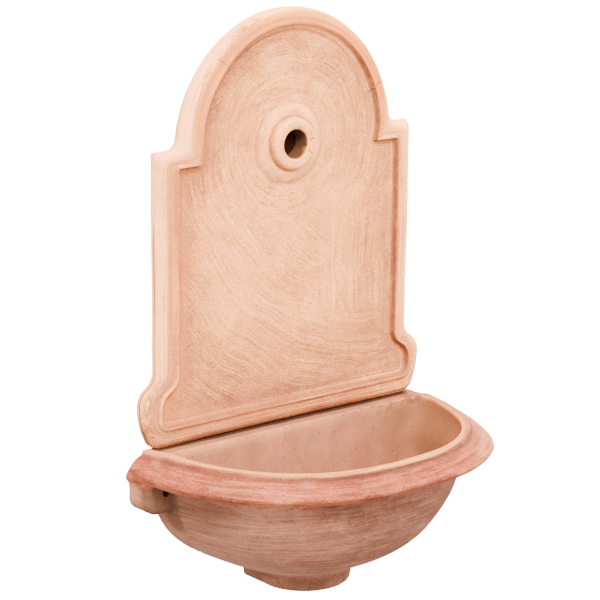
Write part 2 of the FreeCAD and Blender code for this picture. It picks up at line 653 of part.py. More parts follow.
def make_basin():
    """Basin: the lofted bowl with its water space, then foot, fixing lugs, fixing holes and waste bore."""
    outside = doc.addObject("Part::Feature", "basin_outside")
    outside.Shape = basin_solid()
    inside = doc.addObject("Part::Feature", "water_space")
    inside.Shape = water_space()
    for solid in (outside, inside):
        solid.setExpression("Placement.Base.z", "sizes.ledge_height")
    hollow = doc.addObject("Part::Cut", "hollow_bowl")
    hollow.Base = outside
    hollow.Tool = inside
    doc.recompute()
    body = new_body("basin")
    body.BaseFeature = hollow
    doc.recompute()

    foot_sketch = new_sketch(body, "foot_outline", "XY_Plane")
    foot_sketch.setExpression("AttachmentOffset.Base.z", "sizes.ledge_height - sizes.foot_drop")
    draw_foot_outline(foot_sketch)
    foot = new_feature(body, "Pad", "foot", foot_sketch,
                       Length="sizes.foot_drop - sizes.bowl_drop + 0.75 * sizes.wall_clay")
    doc.recompute()
    underside = size("ledge_height") - size("foot_drop")

    def round_the_foot(box):
        return near(box.ZMin, underside) and near(box.ZMax, underside) and box.YMin < -1

    round_edges(body, foot, "foot_edge", edges_where(foot, round_the_foot), "sizes.foot_edge_radius")

    lug_sketch = new_wall_sketch(body, "lug_outline")
    draw_lug_outline(lug_sketch, 0)
    lug = new_feature(body, "Pad", "lug", lug_sketch, Length="sizes.lug_depth - sizes.lug_edge_radius")
    outlines = []
    for name, inset, back in (("lug_round_start", 0, 1), ("lug_round_middle", 0.3, 0.3), ("lug_front", 1, 0)):
        sketch = new_wall_sketch(body, name, "sizes.lug_depth - %g * sizes.lug_edge_radius" % back)
        draw_lug_outline(sketch, inset)
        outlines.append(sketch)
    doc.recompute()
    lug_edge = new_feature(body, "AdditiveLoft", "lug_edge", outlines[0])
    lug_edge.Sections = outlines[1:]
    lug_edge.Ruled = True
    doc.recompute()
    mirror_across_middle(body, [lug, lug_edge], "lugs")

    hole_sketch = new_sketch(body, "fixing_hole_outline", "XZ_Plane")
    half_spacing = size("fixing_spacing") / 2
    hole_radius = size("fixing_hole_radius")
    hole_sketch.addGeometry(Part.Circle(Vector(half_spacing, 0, 0), Vector(0, 0, 1), hole_radius), False)
    tie(hole_sketch, "PointOnObject", 0, 3, -1)
    bind(hole_sketch, "half_spacing", "sizes.fixing_spacing / 2", "DistanceX", -1, 1, 0, 3, half_spacing)
    bind(hole_sketch, "radius", "sizes.fixing_hole_radius", "Radius", 0, hole_radius)
    hole = new_feature(body, "Pocket", "fixing_hole", hole_sketch)
    hole.Type = "ThroughAll"
    hole.Midplane = True
    doc.recompute()
    mirror_across_middle(body, [hole], "fixing_holes")

    drain_sketch = new_sketch(body, "drain_outline", "XY_Plane")
    drain_radius = size("drain_bore_radius")
    drain_reach = size("drain_reach")
    drain_sketch.addGeometry(Part.Circle(Vector(0, -drain_reach, 0), Vector(0, 0, 1), drain_radius), False)
    tie(drain_sketch, "PointOnObject", 0, 3, -2)
    bind(drain_sketch, "reach", "sizes.drain_reach", "DistanceY", 0, 3, -1, 1, drain_reach)
    bind(drain_sketch, "radius", "sizes.drain_bore_radius", "Radius", 0, drain_radius)
    drain = new_feature(body, "Pocket", "drain_bore", drain_sketch)
    drain.Type = "ThroughAll"
    drain.Midplane = True
    doc.recompute()

    ledge = size("ledge_height")
    opening = size("rim_half_width")

    def round_the_water(box):
        level = near(box.ZMin, ledge) and near(box.ZMax, ledge)
        in_front = box.YMax < 2 * TRIM - size("ledge_depth")
        return level and in_front and max(abs(box.XMin), abs(box.XMax)) < opening + 1

    round_edges(body, drain, "lip_edge", edges_where(drain, round_the_water), "sizes.lip_edge_radius")
    return body


def check_and_write(body):
    """Stops on any failed object or bad shape, then writes the body as one STEP file."""
    shape = body.Shape
    if shape.isNull() or not shape.isValid() or len(shape.Solids) != 1:
        raise RuntimeError("bad shape: " + body.Label)
    shape.exportStep(os.path.join(OUTPUT_FOLDER, body.Label + ".step"))
    box = shape.BoundBox
    print("%s: %.0f x %.0f x %.0f mm, %.0f cm3" % (body.Label, box.XLength, box.YLength, box.ZLength,
                                                  shape.Volume / 1000))


bodies = [make_panel(), make_basin()]
doc.recompute()
for item in doc.Objects:
    if "Invalid" in item.State or "Error" in item.State:
        raise RuntimeError("failed object: " + item.Name)
os.makedirs(OUTPUT_FOLDER, exist_ok=True)
for finished in bodies:
    check_and_write(finished)
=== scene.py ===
"""Looks of the terracotta wall fountain: brushed clay panel and basin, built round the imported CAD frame.

Shapes are worked out in millimetres from the ledge (z = 0) and the wall (y = 0), then placed in metres.
"""
import math

import bmesh
import bpy
import numpy as np
from mathutils import Matrix, Vector, noise
from mathutils.geometry import delaunay_2d_cdt

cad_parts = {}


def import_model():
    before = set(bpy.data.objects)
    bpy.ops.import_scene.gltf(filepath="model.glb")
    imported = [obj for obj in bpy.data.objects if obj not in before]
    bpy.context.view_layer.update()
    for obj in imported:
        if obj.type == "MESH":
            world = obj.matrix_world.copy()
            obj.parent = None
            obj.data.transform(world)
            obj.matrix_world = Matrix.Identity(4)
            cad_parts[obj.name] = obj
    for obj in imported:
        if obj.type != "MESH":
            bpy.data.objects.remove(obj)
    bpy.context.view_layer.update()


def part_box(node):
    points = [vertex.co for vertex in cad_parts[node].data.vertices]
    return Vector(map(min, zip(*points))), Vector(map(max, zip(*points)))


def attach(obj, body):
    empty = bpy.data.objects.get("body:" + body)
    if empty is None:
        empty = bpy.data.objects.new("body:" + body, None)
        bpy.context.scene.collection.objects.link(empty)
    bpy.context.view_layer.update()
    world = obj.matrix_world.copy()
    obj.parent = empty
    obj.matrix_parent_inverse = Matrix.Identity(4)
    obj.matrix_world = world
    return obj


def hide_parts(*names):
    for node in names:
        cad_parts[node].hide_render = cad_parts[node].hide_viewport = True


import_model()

MM = 0.001
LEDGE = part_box("back_panel")[0][2] / MM

# Panel, in millimetres
PANEL_HALF = 224
FLARE_HALF = 250
FLARE_TOP = 103
FLARE_HOLLOW = 24
FLARE_ROUND = 28
LONG_SIDE = 110
CORNER = 23
BOW = 1.6
FOOT_DROP = 4.2
SEAT = 14
SHOULDER = 402
SHOULDER_ROUND = 9
SLAB_SHOULDER_ROUND = 2
ARCH_RADIUS = 187
ARCH_CENTRE = 391
ARCH_FILLET = 16
FIELD_HALF = 194
FIELD_FLARE_HALF = 223
FIELD_FLARE_TOP = 98.5
FIELD_CORNER = 14
FIELD_BOTTOM = 25
FIELD_STEP = 380.5
FIELD_STEP_ROUND = 3
FIELD_ARCH_RADIUS = 156
FIELD_ARCH_CENTRE = 399
FIELD_FILLET = 2
FIELD_ARCH_SHIFT = (3.0, 2.0)
BOSS_CENTRE = 393
BEVEL_INSET = 10.5
CREST_INSET = 28
SLAB_REACH = 7

# Points per stretch of the outline, from the middle of the foot round to the crown
COUNTS = {"bow": 64, "seat": 6, "corner": 12, "long": 16, "round": 12, "hollow": 12,
          "side": 92, "shoulder": 8, "step": 10, "fillet": 7, "arch": 104}

# Basin, in millimetres
RIM_HALF = 230
RIM_DEPTH = 254
SETBACK = 27
PLAN_FULLNESS = 2.5
EXTRA_FULLNESS = 0.4
EXTRA_END = 0.45
SIDE_FULLNESS = 2.03
FRONT_FULLNESS = 2.53
LEDGE_DEPTH = 42
BOWL_HALF = 227
BOWL_DEPTH = 239
BOWL_TOP = 53
BOWL_LOW = 206
CLAY = 18
FLOOR = 188
FOOT_RADIUS = 70
FOOT_DEPTH = 123
FOOT_LOW = 225
FRONT_LIFT = 0.13
END_NARROWING = 0.0145
NOSE_OUT = 43.2
NOSE_Z = -27.4
DRAIN_RADIUS = 22.5
DRAIN_REACH = 77
HOLE_X = 233
HOLE_Z = -54
HOLE_RADIUS = 6.5
LUG_LOW = (206, -45, -86)
LUG_HIGH = (263, -0.4, -33)
LUG_CORNER_ROUND = 20
LUG_FRONT_ROUND = 12
LUG_LEAN = 4.5
CURVE_POINTS = 250
CORNER_POINTS = 6
WALL_POINTS = 84


# Mesh helpers

def place(points):
    """Millimetres from the ledge to metres in the frame."""
    return np.asarray(points, float) * MM + np.array([0, 0, LEDGE * MM])


def linked(name, data):
    """New object with the given data, in the scene."""
    piece = bpy.data.objects.new(name, data)
    bpy.context.collection.objects.link(piece)
    return piece


def linked_mesh(name, shape):
    """New object made from a bmesh, which is then freed."""
    data = bpy.data.meshes.new(name)
    shape.to_mesh(data)
    shape.free()
    return linked(name, data)


def points_of(data):
    """Places of a mesh's points, in metres."""
    places = np.empty(len(data.vertices) * 3)
    data.vertices.foreach_get("co", places)
    return places.reshape(-1, 3)


def in_batches(points, loop, work):
    """Runs work(points, starts, ends of the loop's edges) on a few points at a time."""
    points = np.asarray(points, float).reshape(-1, 2)
    starts, ends = np.asarray(loop, float), np.roll(loop, -1, axis=0)
    size = 2000
    parts = [work(points[i:i + size], starts, ends) for i in range(0, len(points), size)]
    return np.concatenate(parts) if parts else np.zeros(0)


def inside(points, loop):
    """Which 2-D points lie inside a closed loop."""
    def work(batch, starts, ends):
        x, y = batch[:, 0:1], batch[:, 1:2]
        crosses = (ends[:, 1] > y) != (starts[:, 1] > y)
        with np.errstate(divide="ignore", invalid="ignore"):
            at = starts[:, 0] + (y - starts[:, 1]) * (ends[:, 0] - starts[:, 0]) / (ends[:, 1] - starts[:, 1])
        return np.count_nonzero(crosses & (x < at), axis=1) % 2 == 1

    return in_batches(points, loop, work).astype(bool)


def edge_distance(points, loop):
    """Distance of 2-D points from a closed loop, positive inside it."""
    def work(batch, starts, ends):
        edge = ends - starts
        off = batch[:, None, :] - starts
        along = np.clip((off * edge).sum(axis=2) / np.maximum((edge ** 2).sum(axis=1), 1e-12), 0, 1)
        away = off - along[..., None] * edge
        return np.sqrt((away ** 2).sum(axis=2).min(axis=1))

    distance = in_batches(points, loop, work)
    return np.where(inside(points, loop), distance, -distance)


class Builder:
    """Collects rings and filled areas of one closed mesh."""

    def __init__(self):
        self.points = []
        self.faces = []

    def ring(self, points):
        """Adds a ring of points and returns the index of its first vertex."""
        start = len(self.points)
        self.points.extend(tuple(map(float, p)) for p in points)
        return start

    def skin(self, rings):
        """Joins successive rings with quads; returns where each ring starts."""
        starts = [self.ring(r) for r in rings]
        count = len(rings[0])
        for a, b in zip(starts, starts[1:]):
            for i in range(count):
                after = (i + 1) % count
                self.faces.append((a + i, a + after, b + after, b + i))
        return starts

    def fill(self, outline, holes, inner, to_3d, flip=False):
        """Fills the flat area inside an outline, round holes, with triangles.

        The outline and each hole are (start index, 2-D points). Loose 2-D points are inner; to_3d lifts one.
        """
        flat, index, edges = [], [], []
        for start, loop in [outline] + holes:
            first = len(flat)
            flat += [Vector(p) for p in loop]
            index += [start + i for i in range(len(loop))]
            edges += [(first + i, first + (i + 1) % len(loop)) for i in range(len(loop))]
        for p in inner:
            index.append(len(self.points))
            self.points.append(to_3d(p))
            flat.append(Vector(p))
        verts, _, faces, origin, _, _ = delaunay_2d_cdt(flat, edges, [], 0, 1e-5)
        middles = [np.mean([verts[i] for i in face], axis=0) for face in faces]
        keep = inside(middles, outline[1])
        for _, loop in holes:
            keep &= ~inside(middles, loop)
        for face, kept in zip(faces, keep):
            if kept:
                corners = [index[origin[i][0]] for i in face]
                self.faces.append(tuple(reversed(corners)) if flip else tuple(corners))

    def mesh(self, name):
        """Object made of all that was collected."""
        data = bpy.data.meshes.new(name)
        data.from_pydata([tuple(p) for p in place(self.points)], [], self.faces)
        data.validate()
        piece = linked(name, data)
        shape = bmesh.new()
        shape.from_mesh(data)
        bmesh.ops.remove_doubles(shape, verts=shape.verts, dist=1e-6)
        bmesh.ops.recalc_face_normals(shape, faces=shape.faces)
        shape.to_mesh(data)
        shape.free()
        return piece


def step(value, low, high):
    """Smooth step of an array between two limits."""
    t = np.clip((value - low) / (high - low), 0, 1)
    return t * t * (3 - 2 * t)


def bell(value, middle, width):
    return np.exp(-((value - middle) / width) ** 2)


def staggered_grid(low, high, spacing):
    """Staggered grid of 2-D points between two corners."""
    row_spacing = spacing * math.sqrt(3) / 2
    rows = np.arange(int((high[1] - low[1]) / row_spacing) + 1)
    columns = np.arange(int((high[0] - low[0]) / spacing) + 1)
    column, row = np.meshgrid(columns, rows)
    across = low[0] + (column + 0.5 * (row % 2)) * spacing
    return np.column_stack([across.ravel(), (low[1] + row * row_spacing).ravel()])


def boolean(piece, other, operation):
    """Applies a boolean with another object, which is then removed; both are closed meshes."""
    modifier = piece.modifiers.new(operation, "BOOLEAN")
    modifier.operation = operation
    modifier.solver = "MANIFOLD"
    modifier.object = other
    evaluated = piece.evaluated_get(bpy.context.evaluated_depsgraph_get())
    result = bpy.data.meshes.new_from_object(evaluated)
    piece.modifiers.clear()
    piece.data = result
    bpy.data.objects.remove(other)


# Outlines of the panel

def sweep(centre, radius, start, end, count):
    """Points on an arc in degrees, without its last point."""
    turn = np.radians(np.linspace(start, end, count, endpoint=False))
    return np.column_stack([centre[0] + radius * np.cos(turn), centre[1] + radius * np.sin(turn)])


def straight(start, end, count):
    """Points on a line, without its last point."""
    t = np.linspace(0, 1, count, endpoint=False)[:, None]
    return np.array(start) * (1 - t) + np.array(end) * t


def mirror_loop(half):
    """Whole loop from its right half, which runs from the foot's middle to the crown."""
    left = half[-2:0:-1] * np.array([-1, 1])
    return np.vstack([half, left])


def flare(side, widest, top, hollow, rounded):
    """How far the flare's arcs turn, in degrees, and the height where the round one starts."""
    turn = math.acos(1 - (widest - side) / (hollow + rounded))
    return math.degrees(turn), top - (hollow + rounded) * math.sin(turn)


def upper_half(side, shoulder, rounding, fillet, radius, centre, top):
    """Straight side, rounded shoulder, step, fillet and arch, up to the crown."""
    fillet_up = shoulder + fillet - centre
    fillet_x = math.sqrt((radius + fillet) ** 2 - fillet_up ** 2)
    foot = math.degrees(math.atan2(fillet_up, fillet_x))
    return [
        straight((side, top), (side, shoulder - rounding), COUNTS["side"]),
        sweep((side - rounding, shoulder - rounding), rounding, 0, 90, COUNTS["shoulder"]),
        straight((side - rounding, shoulder), (fillet_x, shoulder), COUNTS["step"]),
        sweep((fillet_x, shoulder + fillet), fillet, 270, 180 + foot, COUNTS["fillet"]),
        sweep((0, centre), radius, foot, 90, COUNTS["arch"]),
        np.array([[0, centre + radius]]),
    ]


def outer_loop(inset, rounding=SHOULDER_ROUND, bow=BOW):
    """Outline of the panel, set in from its edge."""
    side, widest = PANEL_HALF - inset, FLARE_HALF - inset
    corner, long_side = CORNER - inset, LONG_SIDE - inset
    hollow, rounded = FLARE_HOLLOW + inset, FLARE_ROUND - inset
    turn, low = flare(side, widest, FLARE_TOP, hollow, rounded)
    bottom = inset - FOOT_DROP
    drop = low - bottom - corner
    corner_x = widest - long_side + math.sqrt((long_side - corner) ** 2 - drop ** 2)
    corner_turn = math.degrees(math.asin(drop / (long_side - corner)))
    half_bow = corner_x - SEAT
    x = np.linspace(0, half_bow, COUNTS["bow"], endpoint=False)
    parts = [
        np.column_stack([x, bottom + bow * (1 - (x / half_bow) ** 2)]),
        straight((half_bow, bottom), (corner_x, bottom), COUNTS["seat"]),
        sweep((corner_x, bottom + corner), corner, 270, 360 - corner_turn, COUNTS["corner"]),
        sweep((widest - long_side, low), long_side, -corner_turn, 0, COUNTS["long"]),
        sweep((widest - rounded, low), rounded, 0, turn, COUNTS["round"]),
        sweep((side + hollow, FLARE_TOP), hollow, 180 + turn, 180, COUNTS["hollow"]),
    ]
    parts += upper_half(side, SHOULDER - inset, rounding, ARCH_FILLET + inset, ARCH_RADIUS - inset,
                        ARCH_CENTRE, FLARE_TOP)
    return mirror_loop(np.vstack(parts))


def field_loop(inset):
    """Outline of the sunk field, set further in."""
    side, widest = FIELD_HALF - inset, FIELD_FLARE_HALF - inset
    bottom, corner = FIELD_BOTTOM + inset, FIELD_CORNER - min(inset, FIELD_CORNER - 4)
    hollow, rounded = FLARE_HOLLOW + inset, FLARE_ROUND - inset
    turn, low = flare(side, widest, FIELD_FLARE_TOP, hollow, rounded)
    parts = [
        straight((0, bottom), (widest - corner, bottom), COUNTS["bow"] + COUNTS["seat"]),
        sweep((widest - corner, bottom + corner), corner, 270, 360, COUNTS["corner"]),
        straight((widest, bottom + corner), (widest, low), COUNTS["long"]),
        sweep((widest - rounded, low), rounded, 0, turn, COUNTS["round"]),
        sweep((side + hollow, FIELD_FLARE_TOP), hollow, 180 + turn, 180, COUNTS["hollow"]),
    ]
    parts += upper_half(side, FIELD_STEP - inset, FIELD_STEP_ROUND, FIELD_FILLET + inset,
                        FIELD_ARCH_RADIUS - inset, FIELD_ARCH_CENTRE, FIELD_FLARE_TOP)
    loop = mirror_loop(np.vstack(parts))
    in_arch = step(loop[:, 1], FIELD_STEP, FIELD_STEP + 25)
    return loop + in_arch[:, None] * np.array(FIELD_ARCH_SHIFT)


def lift(loop, reach):
    """2-D points seen from the front to 3-D points at a distance from the wall."""
    return [(x, -reach, z) for x, z in loop]


# Profile of the frame: inset from the outer edge, distance from the wall
FRAME_PROFILE = [
    (1.2, 0), (0.3, 0.5), (0, 1.6), (0, 3.4), (0.1, 5.2), (0.5, 5.9), (1.5, 6.3), (1.6, 6.9), (0.8, 7.5),
    (0.5, 8.6), (1.1, 10.3), (2.4, 12.2), (4.1, 14.1), (6.0, 15.9), (7.7, 17.2), (9.2, 18.2),
    (BEVEL_INSET, 18.8),
]
CREST_PROFILE = [
    (12.5, 19.1), (14.5, 19.2), (16.5, 19.0), (18.5, 18.7), (20.5, 18.6), (22.5, 18.9), (24.3, 19.7),
    (25.6, 20.9), (26.8, 21.7), (CREST_INSET, 22),
]

# Wall of the recess: further inset from the crest, distance from the wall
RECESS_PROFILE = [(0.9, 21.7), (1.7, 20.8), (2.1, 19.4), (2.5, 17.4), (3.0, 15.4), (3.8, 13.8), (5.2, 12.7),
                  (7.2, 12.1), (9.6, 11.9), (12, 12)]
FIELD_REACH = 12

# Tap boss: radius, distance from the wall
BOSS_PROFILE = [
    (60, 12), (57.5, 12.6), (55, 14), (52, 15.8), (49, 17.3), (45.5, 18.6), (42, 19.3), (39.6, 19.2),
    (38.2, 18.4), (37.3, 18.1), (36.8, 19.2), (36.6, 21.4), (36.2, 24.4), (35.3, 27.2), (33.8, 29.0),
    (31.5, 30.0), (28.5, 30.4), (25.5, 30.3), (23.0, 29.8), (21.2, 28.8), (20.3, 27.4), (20, 25), (20, 20),
    (20, 15), (20, 10), (20, 5), (20.4, 1.4), (21.6, 0),
]
BOSS_POINTS = 150
FIELD_GRID = 4
BACK_GRID = 14
CHIP_DEPTH = 1.6
CHIPPED_RADII = (18, 24)
CHIPPED_REACH = 20


def circle(radius, count, centre=(0, BOSS_CENTRE)):
    turn = np.linspace(0, 2 * math.pi, count, endpoint=False)
    return np.column_stack([centre[0] + radius * np.cos(turn), centre[1] + radius * np.sin(turn)])


def boss_ring(radius, reach):
    """One ring of the boss; the mouth of the bore is chipped on its right."""
    loop = circle(radius, BOSS_POINTS)
    if CHIPPED_RADII[0] < radius < CHIPPED_RADII[1] and reach > CHIPPED_REACH:
        off = (loop - (0, BOSS_CENTRE)) / radius
        right = np.clip(off[:, 0] + 0.25, 0, 1)
        ragged = np.array([noise.noise(Vector((p[0] * 3, p[1] * 3, reach * 0.05))) for p in off])
        loop = loop + off * (CHIP_DEPTH * right * np.clip(ragged + 0.25, 0, 1))[:, None]
    return lift(loop, reach)


def build_panel():
    """Closed mesh of the panel. The slab behind the seam stands on the ledge; the frame's foot is bowed."""
    shape = Builder()
    rings = []
    for inset, reach in FRAME_PROFILE:
        slab = reach < SLAB_REACH
        loop = outer_loop(inset, SLAB_SHOULDER_ROUND, 0) if slab else outer_loop(inset)
        rings.append(lift(loop, reach))
    bevel, crest = outer_loop(BEVEL_INSET), field_loop(0)
    for inset, reach in CREST_PROFILE:
        t = (inset - BEVEL_INSET) / (CREST_INSET - BEVEL_INSET)
        rings.append(lift(bevel * (1 - t) + crest * t, reach))
    rings += [lift(field_loop(inset), reach) for inset, reach in RECESS_PROFILE]
    starts = shape.skin(rings)
    boss_starts = shape.skin([boss_ring(radius, reach) for radius, reach in BOSS_PROFILE])

    def loose_points(spacing, margin, hole_radius):
        grid = staggered_grid((-FLARE_HALF, 0), (FLARE_HALF, ARCH_CENTRE + ARCH_RADIUS), spacing)
        off_hole = np.hypot(grid[:, 0], grid[:, 1] - BOSS_CENTRE) > hole_radius + 0.6 * spacing
        return grid[off_hole & inside(grid, margin)]

    edge = field_loop(RECESS_PROFILE[-1][0])
    boss_radius, bore_radius = BOSS_PROFILE[0][0], BOSS_PROFILE[-1][0]
    grid = loose_points(FIELD_GRID, field_loop(RECESS_PROFILE[-1][0] + 0.6 * FIELD_GRID), boss_radius)
    shape.fill((starts[-1], edge), [(boss_starts[0], circle(boss_radius, BOSS_POINTS))], grid,
               lambda p: (p[0], -FIELD_REACH, p[1]))
    back = outer_loop(FRAME_PROFILE[0][0], SLAB_SHOULDER_ROUND, 0)
    grid = loose_points(BACK_GRID, outer_loop(0.7 * BACK_GRID), bore_radius)
    shape.fill((starts[0], back), [(boss_starts[-1], circle(bore_radius, BOSS_POINTS))], grid,
               lambda p: (p[0], 0.0, p[1]), flip=True)
    return shape.mesh("clay_panel")


# Plan curves of the basin

def plan_curve(half_width, depth, setback, back, fullness=PLAN_FULLNESS, count=480):
    """Dense open curve from the right end at y = back round the front to the left end."""
    length = depth + setback
    behind = (setback - back) / length
    start = math.atan2(setback - back, half_width * (1 - behind ** fullness) ** (1 / fullness))
    angle = np.linspace(start, math.pi - start, count)
    across = np.abs(np.cos(angle)) / half_width
    along = np.abs(np.sin(angle)) / length
    reach = (across ** fullness + along ** fullness) ** (-1 / fullness)
    return np.column_stack([reach * np.cos(angle), setback - reach * np.sin(angle)])


def closed_loop(curve, corner):
    """Evenly spaced loop: the curve, a rounded corner, the straight back and another rounded corner."""
    steps = np.concatenate([[0], np.cumsum(np.hypot(*np.diff(curve, axis=0).T))])
    at = np.linspace(corner, steps[-1] - corner, CURVE_POINTS)
    front = np.column_stack([np.interp(at, steps, curve[:, 0]), np.interp(at, steps, curve[:, 1])])
    left, right = curve[-1], curve[0]
    along = (right - left) / np.linalg.norm(right - left)
    back_start, back_end = left + along * corner, right - along * corner
    t = np.linspace(0, 1, CORNER_POINTS + 2)[1:-1, None]

    def bend(start, middle, end):
        return start * (1 - t) ** 2 + 2 * middle * t * (1 - t) + end * t ** 2

    across = np.linspace(0, 1, WALL_POINTS)[:, None]
    wall = back_start * (1 - across) + back_end * across
    return np.vstack([front, bend(front[-1], left, back_start), wall, bend(back_end, right, front[0])])


def at_height(loop, z):
    return np.column_stack([loop, np.full(len(loop), z)])


def rim_loop(outset, back=0.0, corner=1.2):
    return closed_loop(plan_curve(RIM_HALF + outset, RIM_DEPTH + outset, SETBACK, back), corner)


def bowl_shrink(share):
    """Width and depth factors of the bowl at a share of its full drop."""
    side = (1 - share ** SIDE_FULLNESS) ** (1 / SIDE_FULLNESS)
    front = (1 - share ** FRONT_FULLNESS) ** (1 / FRONT_FULLNESS)
    return side, front


def bowl_fullness(share):
    """Squareness of the bowl's plan: fuller at its top."""
    return PLAN_FULLNESS + EXTRA_FULLNESS * max(0.0, 1 - share / EXTRA_END)


def bowl_loop(share, thinner=0.0, back=0.0, corner=1.2):
    """Plan of the bowl at a share of its drop, thinner than the outside by some clay."""
    side, front = bowl_shrink(share)
    curve = plan_curve((BOWL_HALF - thinner) * side, (BOWL_DEPTH - thinner) * front, SETBACK * front, back,
                       bowl_fullness(share))
    return closed_loop(curve, corner)


def bowl_height(point):
    """Height of the bowl's outer surface at a plan point, by halving."""
    low, high = 0.0, 0.9999
    for _ in range(40):
        middle = (low + high) / 2
        side, front = bowl_shrink(middle)
        half_width, setback = BOWL_HALF * side, SETBACK * front
        length = BOWL_DEPTH * front + setback
        fullness = bowl_fullness(middle)
        if (abs(point[0]) / half_width) ** fullness + (abs(setback - point[1]) / length) ** fullness < 1:
            low = middle
        else:
            high = middle
    return -BOWL_TOP - low * (BOWL_LOW - BOWL_TOP)


# Outside of the rim: distance out from the inner edge of the lip, height
BAND_PROFILE = [
    (12.2, -4.4), (13.6, -5.4), (15.4, -6.2), (17.8, -7.0), (21, -8.2), (24.8, -10.0), (28.6, -12.6),
    (32.2, -15.6), (35.4, -18.4), (38.4, -21.2), (40.8, -23.6), (42.4, -25.6), (NOSE_OUT, NOSE_Z),
    (43.1, -29.2), (42.4, -31.2), (40.9, -33.6), (38.6, -36.0), (35.5, -38.2), (31.5, -40.0), (27, -41.3),
    (21.5, -42.2), (15, -43.2), (8.5, -44.6),
]

# Hollow under the rim: share of the way in to the bowl, share of the way down to it
COVE_PROFILE = [(0.45, 0.12), (0.72, 0.35), (0.88, 0.6), (0.96, 0.82)]

# Foot: growth of its plan, with the fall below its top or the height above its underside
FOOT_FLARE = [(3.4, 1.2), (1.9, 3.4), (0.8, 7)]
FOOT_EDGE = [(0, 5.5), (-0.9, 3.2), (-2.8, 1.3), (-5.6, 0.2), (-9, 0)]
FOOT_TAPER = 3

# Bowl: rings outside and inside, down to which share of its drop, and the lean of its inner back wall
OUTER_RINGS, OUTER_SHARE = 34, 0.86
INNER_RINGS, INNER_SHARE = 24, 0.93
BACK_LEAN = 0.05

# Inside of the rim: distance out from the inner edge of the lip, height
UNDER_LIP = [(-14, -40), (-7.5, -29), (-3.4, -19), (-1.2, -12)]

# Drain bore: share of its radius, depth below the floor
DRAIN_PROFILE = [(1.06, 0), (1.02, 0.6), (1, 2), (1, 12), (1, 24), (1, 35), (1.02, 36.4),
                 (1.06, FOOT_LOW - FLOOR)]
DRAIN_POINTS = 96

# Spacing of the points on the floor and under the foot, and how far in from their edges the points start
FLOOR_GRID = 6
FOOT_GRID = 8
FILL_SHARE = 0.93


def by_wall(loop):
    """1 at the wall, 0 where the rim has its full height."""
    return step(-loop[:, 1], 60, 0)


def ledge_fall(points):
    """How far the ledge and the lip's ends lie below the lip."""
    return FOOT_DROP * step(-points[:, 1], 55, 15)


def lifted_front(loop, z, amount=1.0):
    """Ring at a height; the band rises a little towards the front, and falls and narrows by the wall."""
    forward = np.clip(-loop[:, 1] / RIM_DEPTH, 0, 1) ** 2
    lowness = min(1.0, z / NOSE_Z)
    at_end = amount * by_wall(loop)
    fall = (3.5 + 5.5 * lowness) * at_end
    narrower = 1 - END_NARROWING * lowness ** 2 * at_end
    height = z * (1 - FRONT_LIFT * forward * amount) - fall
    return np.column_stack([loop[:, 0] * narrower, loop[:, 1], height])


def foot_loop(grow):
    """Plan of the foot: a half circle with straight flanks back to the wall."""
    radius, flank = FOOT_RADIUS + grow, FOOT_DEPTH - FOOT_RADIUS
    turn = np.linspace(0, math.pi, 300)
    front = np.column_stack([radius * np.cos(turn), -flank - radius * np.sin(turn)])
    right = np.column_stack([np.full(60, radius), np.linspace(0, -flank, 60, endpoint=False)])
    left = np.column_stack([np.full(60, -radius), np.linspace(-flank, 0, 61)[1:]])
    return closed_loop(np.vstack([right, front, left]), 1.2)


def outer_rings():
    """Rings from the outer edge of the lip down to the underside of the foot."""
    rings = [lifted_front(rim_loop(outset), z) for outset, z in BAND_PROFILE]
    last_out, last_z = BAND_PROFILE[-1]
    for inward, down in COVE_PROFILE:
        half = (RIM_HALF + last_out) * (1 - inward) + BOWL_HALF * inward
        depth = (RIM_DEPTH + last_out) * (1 - inward) + BOWL_DEPTH * inward
        curve = plan_curve(half, depth, SETBACK, 0.0, PLAN_FULLNESS + EXTRA_FULLNESS * inward)
        rings.append(lifted_front(closed_loop(curve, 1.2), last_z - (BOWL_TOP + last_z) * down, 1 - down))
    for share in OUTER_SHARE * np.sin(np.linspace(0, math.pi / 2, OUTER_RINGS)):
        rings.append(at_height(bowl_loop(share), -BOWL_TOP - share * (BOWL_LOW - BOWL_TOP)))

    above_foot, wide = rings[-1][:, :2], foot_loop(5)
    for t in (0.25, 0.5, 0.75, 0.92, 1):
        loop = above_foot * (1 - t) + wide * t
        rings.append(np.array([(x, y, bowl_height((x, y))) for x, y in loop]))
    top = rings[-1][:, 2]
    for grow, fall in FOOT_FLARE:
        rings.append(np.column_stack([foot_loop(grow), top - fall]))
    under_flare, above_edge = top - FOOT_FLARE[-1][1], FOOT_EDGE[0][1] + 3 - FOOT_LOW
    for t in (0.5, 1):
        rings.append(np.column_stack([foot_loop(-FOOT_TAPER * t), under_flare * (1 - t) + above_edge * t]))
    for grow, z in FOOT_EDGE:
        rings.append(at_height(foot_loop(grow - FOOT_TAPER - 0.3), z - FOOT_LOW))
    return rings


